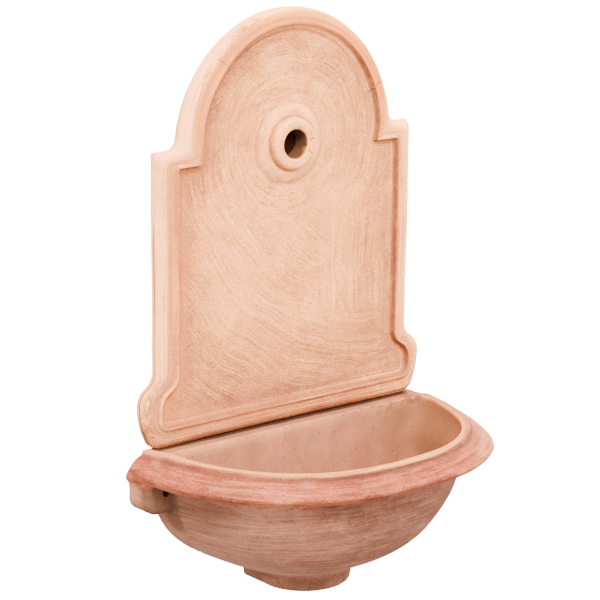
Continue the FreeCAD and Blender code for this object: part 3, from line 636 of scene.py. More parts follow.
def lip_rings():
    """Rings over the lip and the ledge, from the inner edge of the water out to the step above the band."""
    inner = closed_loop(plan_curve(RIM_HALF, RIM_DEPTH, SETBACK, -LEDGE_DEPTH), 26)
    outward = rim_loop(10.6) - inner
    width = np.linalg.norm(outward, axis=1)
    outward = outward / width[:, None]
    on_ledge = step(width, 11, 33)
    rounding = 3.2 + 1.3 * on_ledge

    def ring(reach, z):
        loop = inner + outward * reach[:, None]
        return np.column_stack([loop[:, 0], np.minimum(loop[:, 1], 0), z - ledge_fall(loop)])

    rings = []
    for turn in np.radians([90, 66, 44, 22]):
        rings.append(ring(rounding * (1 - math.sin(turn)), -rounding * (1 - math.cos(turn))))
    for t in (0, 0.16, 0.3, 0.36, 0.42, 0.48, 0.58, 0.8, 0.95):
        crowned = 0.5 * math.sin(math.pi * t) * (1 - on_ledge)
        rings.append(ring(rounding + (width - rounding - 2.2) * t, crowned))
    for back, fall in ((1.2, 0.5), (0.2, 1.7), (-0.8, 3.2)):
        rings.append(ring(width - back, -fall * (1 - on_ledge)))
    return rings


def inner_rings():
    """Rings from the floor of the basin up to its lip."""
    rings = []
    for share in INNER_SHARE * np.sin(np.linspace(math.pi / 2, 0, INNER_RINGS)):
        z = -BOWL_TOP - share / INNER_SHARE * (FLOOR - BOWL_TOP)
        loop = bowl_loop(share, CLAY, -LEDGE_DEPTH + BACK_LEAN * z, 20 + 10 * bowl_shrink(share)[0])
        rings.append(at_height(loop, z))
    for outset, z in UNDER_LIP:
        rings.append(at_height(rim_loop(outset, -LEDGE_DEPTH + BACK_LEAN * z, 30 + z * 0.1), z))
    return rings


def build_basin():
    """Closed mesh of the basin, then its two lugs and their holes."""
    shape = Builder()
    rings = inner_rings() + lip_rings() + outer_rings()
    starts = shape.skin(rings)
    drain = [at_height(circle(DRAIN_RADIUS * grow, DRAIN_POINTS, (0, -DRAIN_REACH)), -FLOOR - fall)
             for grow, fall in DRAIN_PROFILE]
    drain_starts = shape.skin(drain)
    for end, height, spacing, flip in ((0, -FLOOR, FLOOR_GRID, False), (-1, -FOOT_LOW, FOOT_GRID, True)):
        flat = rings[end][:, :2]
        middle = flat.mean(axis=0)
        grid = staggered_grid(flat.min(axis=0), flat.max(axis=0), spacing)
        off_drain = np.hypot(grid[:, 0], grid[:, 1] + DRAIN_REACH) > DRAIN_RADIUS + FLOOR_GRID
        grid = grid[off_drain & inside(grid, middle + (flat - middle) * FILL_SHARE)]
        shape.fill((starts[end], flat), [(drain_starts[end], drain[end][:, :2])], grid,
                   lambda p: (p[0], p[1], height), flip)
    basin = shape.mesh("clay_basin")
    for side in (-1, 1):
        boolean(basin, lug(side), "UNION")
        boolean(basin, screw_hole(side), "DIFFERENCE")
    return basin


def lug(side):
    """Fixing lug: a block on the wall, well rounded at its outer lower corner and round its front."""
    block = bmesh.new()
    bmesh.ops.create_cube(block, size=1)
    for vertex in block.verts:
        vertex.co = [high if way > 0 else low for low, high, way in zip(LUG_LOW, LUG_HIGH, vertex.co)]

    def round_off(chosen, offset, segments):
        edges = [edge for edge in block.edges if chosen(edge)]
        bmesh.ops.bevel(block, geom=edges, offset=offset, offset_type="OFFSET", segments=segments,
                        profile=0.5, affect="EDGES")

    def whole(edge, test):
        return all(test(vertex.co) for vertex in edge.verts)

    def at_outer_foot(edge):
        return whole(edge, lambda c: c.x > LUG_HIGH[0] - 5 and c.z < LUG_LOW[2] + 5)

    def round_front(edge):
        hidden = whole(edge, lambda c: c.x < LUG_LOW[0] + 1) or whole(edge, lambda c: c.z > LUG_HIGH[2] - 1)
        return whole(edge, lambda c: c.y < LUG_LOW[1] + 1) and not hidden

    round_off(at_outer_foot, LUG_CORNER_ROUND, 10)
    round_off(round_front, LUG_FRONT_ROUND, 6)
    long_edges = [edge for edge in block.edges if edge.calc_length() > 20]
    bmesh.ops.subdivide_edges(block, edges=long_edges, cuts=4, use_grid_fill=True)
    for vertex in block.verts:
        if vertex.co.x > 250:
            vertex.co.x += LUG_LEAN * min(1.0, max(0.0, (vertex.co.z + 50) / 14))
        vertex.co.x *= side
        vertex.co = place([vertex.co])[0]
    if side < 0:
        bmesh.ops.reverse_faces(block, faces=block.faces)
    bmesh.ops.recalc_face_normals(block, faces=block.faces)
    return linked_mesh("lug", block)


def screw_hole(side):
    """Cutter for one fixing hole."""
    rod = bmesh.new()
    bmesh.ops.create_cone(rod, cap_ends=True, segments=40, radius1=HOLE_RADIUS * MM,
                          radius2=HOLE_RADIUS * MM, depth=0.12)
    long_edges = [edge for edge in rod.edges if edge.calc_length() > 0.1]
    bmesh.ops.subdivide_edges(rod, edges=long_edges, cuts=11)
    bmesh.ops.rotate(rod, verts=rod.verts, cent=(0, 0, 0), matrix=Matrix.Rotation(math.pi / 2, 3, "X"))
    bmesh.ops.translate(rod, verts=rod.verts, vec=Vector(place([(side * HOLE_X, -30, HOLE_Z)])[0]))
    return linked_mesh("hole", rod)


# Hand-made unevenness: waves per metre and how far they move a point in millimetres, from coarse to fine
UNEVENNESS = [(9, 0.9), (34, 0.35), (120, 0.12)]
FLAT_AT_WALL = 6


def wander(piece, seed):
    """Moves a mesh's points a little, coarsely and finely, as pressed clay does; the wall side stays flat."""
    noise.seed_set(seed)
    data = piece.data
    moved = points_of(data)
    shift = Vector((seed * 7.3, seed * 3.1, seed * 5.7))
    for i, point in enumerate(moved):
        at = Vector(point)
        move = Vector()
        for scale, amount in UNEVENNESS:
            move += noise.noise_vector(at * scale + shift) * amount * MM
        move.y *= min(1.0, max(0.0, -at.y / (FLAT_AT_WALL * MM)))
        moved[i] = at + move
    moved[:, 1] = np.minimum(moved[:, 1], 0)
    data.vertices.foreach_set("co", moved.ravel())
    data.update()


def smooth(piece, sharp_degrees):
    for polygon in piece.data.polygons:
        polygon.use_smooth = True
    piece.data.set_sharp_from_angle(angle=math.radians(sharp_degrees))


# Materials

class Nodes:
    """Short ways to add shader nodes to a material or a world."""

    def __init__(self, owner):
        owner.use_nodes = True
        self.owner = owner
        self.tree = owner.node_tree
        self.tree.nodes.clear()

    def add(self, kind, inputs, **settings):
        node = self.tree.nodes.new(kind)
        for key, value in settings.items():
            setattr(node, key, value)
        for key, value in inputs.items():
            socket = node.inputs[key]
            if isinstance(value, bpy.types.NodeSocket):
                self.tree.links.new(value, socket)
            else:
                socket.default_value = value
        return node

    def math(self, operation, a, b=0.0, clamp=False):
        return self.add("ShaderNodeMath", {0: a, 1: b}, operation=operation, use_clamp=clamp).outputs[0]

    def plus(self, a, b):
        return self.math("ADD", a, b)

    def minus(self, a, b):
        return self.math("SUBTRACT", a, b)

    def times(self, a, b):
        return self.math("MULTIPLY", a, b)

    def length(self, a, b):
        """Length of the vector with these two parts."""
        return self.math("SQRT", self.plus(self.times(a, a), self.times(b, b)))

    def span(self, value, low, high, to_low=0.0, to_high=1.0):
        """Smooth step of a value between two limits."""
        limits = {"Value": value, "From Min": low, "From Max": high, "To Min": to_low, "To Max": to_high}
        return self.add("ShaderNodeMapRange", limits, interpolation_type="SMOOTHSTEP").outputs[0]

    def place(self, kind="Object"):
        return self.add("ShaderNodeTexCoord", {}).outputs[kind]

    def split(self, vector):
        return self.add("ShaderNodeSeparateXYZ", {0: vector}).outputs

    def join(self, x, y, z=0.0):
        return self.add("ShaderNodeCombineXYZ", {0: x, 1: y, 2: z}).outputs[0]

    def mask(self, name):
        """Paint mask kept on the points of the piece."""
        return self.add("ShaderNodeAttribute", {}, attribute_name=name).outputs["Fac"]

    def noise(self, vector, scale, detail=4.0, rough=0.55, distortion=0.0):
        return self.add("ShaderNodeTexNoise", {"Vector": vector, "Scale": scale, "Detail": detail,
                                               "Roughness": rough, "Distortion": distortion}).outputs["Fac"]

    def soft_noise(self, vector, scale, detail, amount):
        """Noise round zero."""
        return self.times(self.minus(self.noise(vector, scale, detail), 0.5), amount)

    def pits(self, vector, scale, size, amount):
        """Small round pits, one in some of the cells of a coarse pattern."""
        cell = self.add("ShaderNodeTexVoronoi", {"Vector": vector, "Scale": scale}, feature="F1")
        red = self.add("ShaderNodeSeparateColor", {0: cell.outputs["Color"]}).outputs[0]
        dot = self.span(cell.outputs["Distance"], size, size * 0.45)
        return self.times(dot, self.math("LESS_THAN", red, amount))

    def mix(self, factor, first, second):
        return self.add("ShaderNodeMix", {0: factor, 6: first, 7: second}, data_type="RGBA").outputs[2]

    def paint(self, base, tone, factor, amount):
        """Lays a tone over a base colour, by a share of a factor."""
        return self.mix(self.times(factor, amount), base, tone)

    def weigh(self, *parts):
        """Half, plus each pattern's distance from a half times its weight."""
        total = 0.5
        for pattern, weight in parts:
            total = self.plus(total, self.times(self.minus(pattern, 0.5), weight))
        return total

    def ramp(self, value, stops):
        """Colour at a value, between (position, colour) stops."""
        node = self.add("ShaderNodeValToRGB", {0: value})
        band = node.color_ramp
        band.elements[0].position, band.elements[0].color = stops[0]
        band.elements[1].position, band.elements[1].color = stops[-1]
        for position, tone in stops[1:-1]:
            band.elements.new(position).color = tone
        return node.outputs[0]

    def line(self, value, at, width):
        """1 where a value is near a place, 0 beyond the width."""
        return self.span(self.math("ABSOLUTE", self.minus(value, at)), width, width * 0.35)

    def scratch(self, x, z, start, end, width):
        """Thin line between two points of the panel's front, in millimetres from the ledge."""
        (ax, az), (bx, bz) = [(px * MM, (pz + LEDGE) * MM) for px, pz in (start, end)]
        dx, dz = bx - ax, bz - az
        square = dx * dx + dz * dz
        off_x, off_z = self.minus(x, ax), self.minus(z, az)
        along = self.math("ADD", self.times(off_x, dx / square), self.times(off_z, dz / square), clamp=True)
        away = self.length(self.minus(off_x, self.times(along, dx)), self.minus(off_z, self.times(along, dz)))
        return self.span(away, width * MM, width * 0.3 * MM)

    def surface(self, inputs):
        """Ends the material in one shader and returns it."""
        shader = self.add("ShaderNodeBsdfPrincipled", inputs)
        self.add("ShaderNodeOutputMaterial", {0: shader.outputs[0]})
        return self.owner


def colour(red, green, blue):
    """Opaque colour from linear values."""
    return (red, green, blue, 1.0)


# Light
LIGHT_TINT = colour(1.0, 0.80, 0.60)
LOW_SKY = 1.40
HIGH_SKY = 6.75
FLOOR_GLOW = 16.0

# Clay tones, linear, from dark to light
PANEL_TONES = [
    (0.30, colour(0.120, 0.042, 0.026)),
    (0.38, colour(0.220, 0.078, 0.042)),
    (0.46, colour(0.370, 0.148, 0.052)),
    (0.53, colour(0.550, 0.235, 0.080)),
    (0.60, colour(0.740, 0.325, 0.128)),
    (0.70, colour(0.900, 0.430, 0.205)),
]
RIM_TONES = [
    (0.34, colour(0.060, 0.014, 0.009)),
    (0.43, colour(0.112, 0.025, 0.015)),
    (0.50, colour(0.180, 0.042, 0.023)),
    (0.57, colour(0.260, 0.072, 0.038)),
    (0.68, colour(0.390, 0.145, 0.085)),
]
BOWL_TONES = [
    (0.34, colour(0.064, 0.028, 0.023)),
    (0.43, colour(0.112, 0.050, 0.040)),
    (0.50, colour(0.166, 0.067, 0.051)),
    (0.57, colour(0.220, 0.097, 0.076)),
    (0.68, colour(0.310, 0.156, 0.128)),
]
INNER_TONES = [
    (0.36, colour(0.140, 0.054, 0.032)),
    (0.50, colour(0.235, 0.096, 0.058)),
    (0.64, colour(0.360, 0.165, 0.105)),
]
PINK = colour(0.52, 0.190, 0.085)
ORANGE = colour(0.58, 0.185, 0.035)
CREAM = colour(0.74, 0.370, 0.155)
LIP = colour(0.53, 0.230, 0.092)
CHALK = colour(0.34, 0.175, 0.125)
RUST = colour(0.110, 0.030, 0.018)
GROOVE_SHADE = colour(0.042, 0.014, 0.009)
REDDISH = colour(0.32, 0.072, 0.026)
SHADE = colour(0.074, 0.036, 0.024)
UMBER = colour(0.016, 0.006, 0.004)
GREYISH = colour(0.27, 0.135, 0.080)
OCHRE = colour(0.115, 0.058, 0.022)

# Lengths that the paint masks hold, so that 0 to 1 covers them, in millimetres
EDGE_SPAN = 200
PROFILE_SPAN = 400


def finish_clay(n, at, base, relief, depth):
    """Matt surface with the given colour and relief."""
    bump = n.add("ShaderNodeBump", {"Height": relief, "Strength": 0.7, "Distance": depth}).outputs[0]
    roughness = n.span(n.noise(at, 60, 3), 0.3, 0.7, 0.84, 0.97)
    return n.surface({"Base Color": base, "Roughness": roughness, "Normal": bump, "Specular IOR Level": 0.2})


def panel_clay():
    """Pale peach clay: brush arcs round the boss, sweeping strokes below it, upright ones at the sides."""
    n = Nodes(bpy.data.materials.new("panel_clay"))
    at = n.place()
    x, y, z = n.split(at)
    edge = n.times(n.minus(n.mask("edge"), 0.5), EDGE_SPAN)
    fine, coarse = brush_strokes(n, at, (x, y, z), edge)
    cloud = n.noise(at, 6, 3, 0.5, 0.5)
    blotch = n.noise(at, 28, 4, 0.62, 0.8)
    grain = n.noise(at, 620, 3, 0.75)

    on_frame = n.span(edge, 1.0, -2.0)
    patchy = n.span(n.noise(at, 10, 2), 0.36, 0.62, 0.35, 1.0)
    stroke_weight = n.times(n.plus(0.40, n.times(on_frame, 0.40)), patchy)
    speck_weight = n.plus(0.60, n.times(on_frame, 0.30))
    tone = n.weigh((n.mask("tone"), 1.0), (fine, stroke_weight), (coarse, 0.15), (blotch, 0.18),
                   (cloud, 0.12), (grain, speck_weight))
    base = n.ramp(tone, PANEL_TONES)
    base = n.paint(base, PINK, n.span(cloud, 0.52, 0.34), 0.20)
    base = n.paint(base, ORANGE, n.mask("orange"), 0.75)
    # Greyish painted shade on the frame's inner slope at the upper left
    base = n.paint(base, GREYISH, n.mask("grey"), 0.65)
    # Painted highlight with pale wear along the low frame's crest and round the boss
    base = n.paint(base, CREAM, n.times(n.mask("highlight_and_wear"), n.span(coarse, 0.34, 0.54, 0.45, 1.0)), 0.85)
    # Painted shade: reddish dark on the recess walls, along the crown's edge and in the grooves round the
    # boss
    ragged = n.span(n.noise(at, 90, 4, 0.75), 0.30, 0.60, 0.55, 1.0)
    base = n.mix(n.times(n.mask("hollow_shade"), ragged), base, RUST)

    broken = n.span(n.noise(at, 130, 3, 0.7), 0.44, 0.56, 0.1, 1.0)
    for name, place_in, width, amount, tint in SCORED_LINES:
        line = n.times(n.line(edge, place_in, width), n.mask(name))
        base = n.paint(base, tint, n.times(line, broken), amount)
    wobble = n.soft_noise(at, 160, 2, 0.003)
    uneven_x, uneven_z = n.plus(x, wobble), n.minus(z, wobble)
    for start, end, width, strength, tint in SCRATCHES:
        mark = n.scratch(uneven_x, uneven_z, start, end, width)
        base = n.paint(base, tint, n.times(mark, n.mask("front")), strength)
    # Painted shade: near black in the bore, in the seam and in the gap under the frame's foot
    base = n.mix(n.mask("dark"), base, UMBER)
    base = n.paint(base, RUST, n.span(n.noise(at, 480, 3, 0.6), 0.66, 0.74), 0.5)
    base = n.paint(base, UMBER, n.pits(at, 30, 0.040, 0.20), 0.9)
    relief = n.weigh((fine, 0.8), (coarse, 0.9), (grain, 0.35))
    return finish_clay(n, at, base, relief, 0.0012)


# Lines scored round the field: paint mask, distance inside its edge, width, strength and tone
SCORED_LINES = [("scored", 9.8, 1.3, 0.75, REDDISH), ("torn", 10.2, 1.1, 0.9, SHADE)]

# Thin marks on the panel: both ends in millimetres from the ledge, width, strength and tone
SCRATCHES = [
    ((-146, 378), (-145, 336), 1.5, 0.65, REDDISH),
    ((-140, 470), (-140, 338), 1.1, 0.45, REDDISH),
    ((-125.6, 519), (-110.5, 508.5), 1.0, 0.8, SHADE),
    ((143.8, 449.7), (160, 463.7), 1.2, 0.9, SHADE),
    ((-114, 245.2), (-114, 245.3), 1.6, 0.9, UMBER),
    ((30.3, 198.9), (30.3, 199), 1.7, 0.9, UMBER),
    ((24, 397), (33, 399), 1.2, 0.9, SHADE),
    ((22, 382), (29, 377), 1.3, 0.9, SHADE),
    ((23, 404), (28, 409), 1.0, 0.7, SHADE),
    ((-13, 419.6), (-13, 419.7), 1.6, 0.8, SHADE),
]


def basin_clay():
    """Rosier clay: level streaks and chalky patches outside, smooth and pitted inside."""
    n = Nodes(bpy.data.materials.new("basin_clay"))
    at = n.place()
    x, y, z = n.split(at)
    down = n.plus(n.times(n.mask("profile"), PROFILE_SPAN), n.times(n.noise(at, 9, 2), 6.0))
    level = n.join(n.times(down, 0.50), n.times(x, 16), n.times(y, 16))
    cloud = n.noise(at, 8, 3, 0.5, 0.5)
    blotch = n.noise(at, 30, 5, 0.65, 0.8)
    grain = n.noise(at, 620, 3, 0.75)
    fine = n.noise(level, 1.0, 3, 0.65, 0.1)
    coarse = n.noise(level, 0.26, 4, 0.65, 0.2)
    flattened = n.join(n.times(x, 14), n.times(y, 14), n.times(z, 40))
    patch = n.noise(flattened, 1.0, 5, 0.7, 0.6)
    spots = n.pits(at, 90, 0.11, 0.8)

    tone = n.weigh((n.mask("tone"), 1.0), (fine, 0.44), (coarse, 0.24), (blotch, 0.20), (cloud, 0.20),
                   (grain, 0.60))
    outside = n.mix(n.mask("shell"), n.ramp(tone, RIM_TONES), n.ramp(tone, BOWL_TONES))
    brushed = n.times(n.span(patch, 0.50, 0.66), n.span(fine, 0.34, 0.60, 0.25, 1.0))
    outside = n.paint(outside, CHALK, n.times(brushed, n.mask("chalky")), 0.5)
    inner_tone = n.weigh((n.mask("tone"), 1.0), (cloud, 0.20), (blotch, 0.24), (grain, 0.30))
    base = n.mix(n.mask("inside"), outside, n.ramp(inner_tone, INNER_TONES))
    # Painted shade with some dirt under the left end of the rim: on the left lug, on the bowl below the band,
    # and a little on the foot
    base = n.paint(base, SHADE, n.times(n.mask("shade_and_dirt"), n.span(blotch, 0.34, 0.60, 0.75, 1.0)), 0.95)
    base = n.paint(base, OCHRE, n.times(n.mask("ochre"), n.span(blotch, 0.30, 0.55, 0.5, 1.0)), 0.8)
    rough = n.span(n.weigh((grain, 1.0), (fine, 0.8)), 0.34, 0.58, 0.35, 1.0)
    # Painted highlight with wear on the lip, the ledge's edge and the left lug's side
    pale = n.times(n.times(n.mask("highlight_and_wear"), n.span(coarse, 0.30, 0.52, 0.55, 1.0)), rough)
    base = n.mix(pale, base, n.mix(n.mask("inside"), LIP, CREAM))
    crust = n.times(n.mask("crust"), n.span(n.noise(at, 75, 5, 0.75, 0.6), 0.47, 0.56))
    base = n.paint(base, RUST, crust, 0.8)
    # Painted shade in the groove between the lip and the band
    ragged = n.times(n.mask("hollow_shade"), n.span(n.noise(at, 60, 3, 0.7), 0.32, 0.58, 0.75, 1.0))
    base = n.paint(base, GROOVE_SHADE, ragged, 0.9)
    # Painted shade: near black in the fixing holes and in the gap under the panel's foot
    base = n.mix(n.mask("dark"), base, UMBER)
    base = n.paint(base, RUST, n.span(n.noise(at, 430, 3, 0.6), 0.66, 0.74), 0.5)
    base = n.paint(base, UMBER, spots, 0.9)
    streaks = n.minus(1.0, n.times(n.mask("inside"), 0.9))
    relief = n.weigh((fine, streaks), (grain, 0.35), (spots, -1.5))
    return finish_clay(n, at, base, relief, 0.0011)


def brush_strokes(n, at, place_parts, edge):
    """Fine and coarse brush pattern of the panel, which changes its direction from part to part."""
    x, y, z = place_parts
    up = n.minus(z, (LEDGE + BOSS_CENTRE) * MM)

    def round_centre(centre_x, centre_up, across, along, offset):
        """Brush coordinates round a centre: across the stroke first, then along it."""
        dx, dz = n.minus(x, centre_x), n.minus(up, centre_up)
        wave = n.times(n.noise(at, 7 + offset, 2), 0.03)
        reach = n.plus(n.length(dx, dz), wave)
        return n.join(n.times(reach, across), n.times(n.math("ARCTAN2", dx, dz), along), offset)

    def ragged(value, low, high, amount):
        """Smooth step of a value whose limits wander."""
        return n.span(n.plus(value, n.soft_noise(at, 12, 3, amount)), low, high)

    def patterns(strokes):
        return n.noise(strokes, 1.0, 2, 0.6), n.noise(strokes, 0.25, 3, 0.6)

    def swap(first, second, factor):
        """Patterns of the first brush direction, then of the second."""
        pairs = zip(first, second)
        return tuple(n.add("ShaderNodeMix", {0: factor, 2: a, 3: b}).outputs[0] for a, b in pairs)

    boss_arcs = patterns(round_centre(0.0, 0.0, 700, 2.4, 1.0))
    sweeps = patterns(round_centre(0.17, 0.045, 760, 3.4, 4.0))
    bent_x = n.plus(x, n.times(n.noise(at, 5, 2), 0.02))
    upright = patterns(n.join(n.times(bent_x, 720), n.times(z, 12), 9.0))
    depth = n.plus(n.math("MAXIMUM", edge, -22.0), n.times(y, 1 / MM))
    along_frame = patterns(n.join(n.times(depth, 0.70), n.times(x, 9), n.times(z, 9)))
    at_right = n.times(ragged(x, 0.04, 0.08, 0.10), ragged(up, -0.285, -0.225, 0.10))
    in_field = swap(swap(sweeps, upright, at_right), boss_arcs, ragged(up, -0.13, -0.08, 0.10))
    return swap(along_frame, in_field, ragged(edge, 9.0, 22.0, 8.0))


# Paint masks

# Heights between which the panel's tones change, in millimetres from the ledge
ARCH_PART = (380, 420)
CROWN_PART = (480, 530)
LOW_PART = (115, 65)
FOOT_STRIP = (34, 22)


def paint_masks(piece, masks):
    """Writes named masks, each worked out from the places in millimetres, on the points of a piece."""
    local = points_of(piece.data) / MM - np.array([0, 0, LEDGE])
    for name, values in masks(local).items():
        layer = piece.data.attributes.new(name, "FLOAT", "POINT")
        layer.data.foreach_set("value", np.clip(values, 0, 1))


def spot(x, z, centre, size):
    """Soft round or oval patch."""
    return bell(x, centre[0], size[0]) * bell(z, centre[1], size[1])


def frame_tone(x, z, edge):
    """Tone of the frame by its distance outside the field: paler at its rim, plainer and darker low down."""
    low, foot, arch = step(z, *LOW_PART), step(z, *FOOT_STRIP), step(z, *ARCH_PART)
    high_frame = np.interp(edge, [-24, -18.5, -15.5, -12, -6, -3.5, -1.2],
                           [0.64, 0.57, 0.49, 0.465, 0.465, 0.44, 0.42])
    low_frame = np.interp(edge, [-28, -20, -14, -5, -2.6, -1.2], [0.54, 0.47, 0.42, 0.40, 0.42, 0.48])
    foot_frame = np.interp(edge, [-6, -2.8, -1.2], [0.385, 0.39, 0.47])
    tone = (high_frame * (1 - low) + low_frame * low) * (1 - foot) + foot_frame * foot
    tone += 0.07 * step(x, 120, 215) * step(edge, -4, -7) + 0.02 * step(x, 150, 190) * (1 - low)
    tone -= (0.030 + 0.012 * step(x, -60, 40)) * arch * step(edge, -19, -15)
    return tone


def field_tone(x, z, edge, reach, facing_right):
    """Tone of the field by its distance inside the edge: darker along it, and low down."""
    arch, crown = step(z, *ARCH_PART), step(z, *CROWN_PART)
    tone = np.interp(edge, [0, 12, 20, 34, 70, 110], [0.37, 0.385, 0.415, 0.46, 0.505, 0.53])
    tone += step(edge, 40, 20) * (0.045 * step(x, -20, 60) * arch + 0.05 * (1 - arch) * step(x, 0, 120))
    # Under the crown the recess wall faces down and is painted much paler: painted light
    tone += step(edge, 26, 12) * crown * 0.035 + step(edge, 9.5, 6.5) * crown * 0.13
    tone += step(edge, 3.4, 5) * step(edge, 14, 9) * 0.05 * (1 - crown)
    tone += step(reach, 75, 45) * 0.03
    tone -= 0.02 * bell(edge, 14, 6) * arch * facing_right + 0.035 * step(z, 170, 90)
    return tone


def panel_masks(local):
    """Masks of the panel: painted shade in its hollows, bore, seam and under its foot, pale wear with painted
    highlights, tinted areas, tone, and where lines are scored.
    """
    x, front, z = local[:, 0], -local[:, 1], local[:, 2]
    reach = np.hypot(x, z - BOSS_CENTRE)
    edge = edge_distance(local[:, [0, 2]], field_loop(0))
    on_front, in_field = step(front, 9, 11), step(edge, 0, 2)
    arch, crown, low, foot = [step(z, *part) for part in (ARCH_PART, CROWN_PART, LOW_PART, FOOT_STRIP)]
    half = np.where(arch > 0.5, FIELD_ARCH_RADIUS, FIELD_HALF)
    facing_left = step(x / half, 0.15, 0.9)
    facing_right = step(-x / half, 0.05, 0.6)

    # Painted shade on the recess walls, along the crown's edge, at the foot of the right wall and in the
    # grooves round the boss
    wall = step(edge, -1.2, 0.4) * step(edge, 4.4, 2.4) * on_front
    lower_wall = step(z, 48, 36) * wall
    groove = bell(reach, 37.6, 1.4) * step(front, 23, 20) * on_front
    hollow_shade = wall * (0.12 * (1 - crown) + 0.70 * facing_left) * (1 - lower_wall) + lower_wall * 0.35
    hollow_shade += bell(edge, -1.0, 1.3) * crown * on_front * 0.45
    hollow_shade += bell(edge, 9.5, 2.2) * facing_right * on_front * (1 - low) * 0.10
    hollow_shade += groove * (0.55 + 0.25 * step(x, 0, -30)) + bell(reach, 57, 2.4) * on_front * 0.45

    # Painted shade in the bore, in the seam between slab and frame, and in the gap under the foot
    bore = step(reach, 22.5, 20.8) * step(front, 29.6, 26.5)
    seam = bell(front, 6.3, 0.9) * step(reach, 60, 70) * step(x, -150, -200) * step(z, 330, 280)
    above_ledge = z + FOOT_DROP - BOW * np.clip(1 - (x / 215) ** 2, 0, 1)
    under = step(above_ledge, 2.4, 1.0) * step(front, 3, 6)
    dark = seam * 0.8 + bore * 0.94 + under * 0.85

    tone = (frame_tone(x, z, edge) + 0.02) * (1 - in_field)
    tone += (field_tone(x, z, edge, reach, facing_right) + 0.010) * in_field
    tone += step(front, 11, 8) * 0.02 * step(z, 120, 200)
    orange = foot * on_front * 0.2 + bell(edge, 14, 9) * step(x, -120, -170) * step(z, 390, 350) * 0.5
    flat_frame = step(edge, -17.5, -15) * step(edge, 0.4, -1) * (1 - low)
    orange += flat_frame * (0.5 + 0.4 * arch - 0.3 * step(x, 150, 190))
    # Greyish painted shade on the frame's inner slope at the upper left, and a small grey spot low on the
    # left flare
    grey = bell(edge, -11, 5.5) * step(z, 440, 380) * step(x, 0, -150) * 0.6
    grey += spot(x, z, (-236, 75), (3, 14)) * 0.7
    # Paler crest along the low frame and round the boss: painted highlight with wear; two pale patches of
    # wear
    highlight_and_wear = bell(edge, -1.4, 1.2) * step(z, 150, 80) * 0.40 + bell(reach, 47, 4.5) * 0.5
    highlight_and_wear += spot(x, z, (-186, 404), (22, 16)) * 0.9 + spot(x, z, (-20, 497), (16, 9)) * 0.55
    highlight_and_wear = highlight_and_wear * on_front + step(reach, 37.0, 35.8) * step(front, 25, 28) * 0.5
    return {"hollow_shade": hollow_shade, "grey": grey * on_front, "highlight_and_wear": highlight_and_wear, "dark": dark, "tone": tone,
            "orange": orange, "torn": bell(z, 520, 34) * step(x, 0, -40), "scored": 0.55 + 0.45 * arch,
            "front": on_front, "edge": 0.5 + edge / EDGE_SPAN}


def rim_outset(local):
    """Distance of each point outside the inner edge of the lip, in plan."""
    across = np.abs(local[:, 0]) / RIM_HALF
    along = np.abs(SETBACK - local[:, 1]) / (RIM_DEPTH + SETBACK)
    level = (across ** PLAN_FULLNESS + along ** PLAN_FULLNESS) ** (1 / PLAN_FULLNESS)
    reach = np.hypot(local[:, 0], SETBACK - local[:, 1])
    return reach * (1 - 1 / np.maximum(level, 1e-6))


def profile_length(out, z):
    """Length down the outside of the basin from its lip: over the band, then down the bowl."""
    back_in = 0.9 * (NOSE_OUT - np.clip(out, -3, NOSE_OUT))
    over_band = np.where(z > NOSE_Z, 1.25 * out, 1.25 * NOSE_OUT + back_in)
    drop = np.linspace(0, 1, 200)
    radius = BOWL_HALF * bowl_shrink(drop)[0]
    steps = np.hypot(np.diff(radius), np.diff(drop) * (BOWL_LOW - BOWL_TOP))
    length = np.concatenate([[0], np.cumsum(steps)])
    return over_band + np.interp((-z - BOWL_TOP) / (BOWL_LOW - BOWL_TOP), drop, length)


def bowl_shell(local):
    """1 on the outside of the bowl and below, 0 inside it."""
    side, front = bowl_shrink(np.clip((-local[:, 2] - BOWL_TOP) / (BOWL_LOW - BOWL_TOP), 0, 0.99))
    setback = SETBACK * front
    across = np.abs(local[:, 0]) / ((BOWL_HALF - CLAY / 2) * side)
    along = np.abs(setback - local[:, 1]) / ((BOWL_DEPTH - CLAY / 2) * front + setback)
    outside = across ** PLAN_FULLNESS + along ** PLAN_FULLNESS > 1
    outside |= (local[:, 2] < -FLOOR - 2) | (local[:, 1] > -LEDGE_DEPTH / 2)
    return (outside & (local[:, 2] < -41.5)).astype(float)


def hole_walls(x, back, z):
    """1 on the walls of the fixing holes, 0 at their mouths, for painted shade in the holes."""
    reach = np.hypot(np.abs(x) - HOLE_X, z - HOLE_Z)
    return step(reach, HOLE_RADIUS + 1.2, HOLE_RADIUS + 0.8) * step(back, 3, 6) * step(back, 43, 41) * 0.9


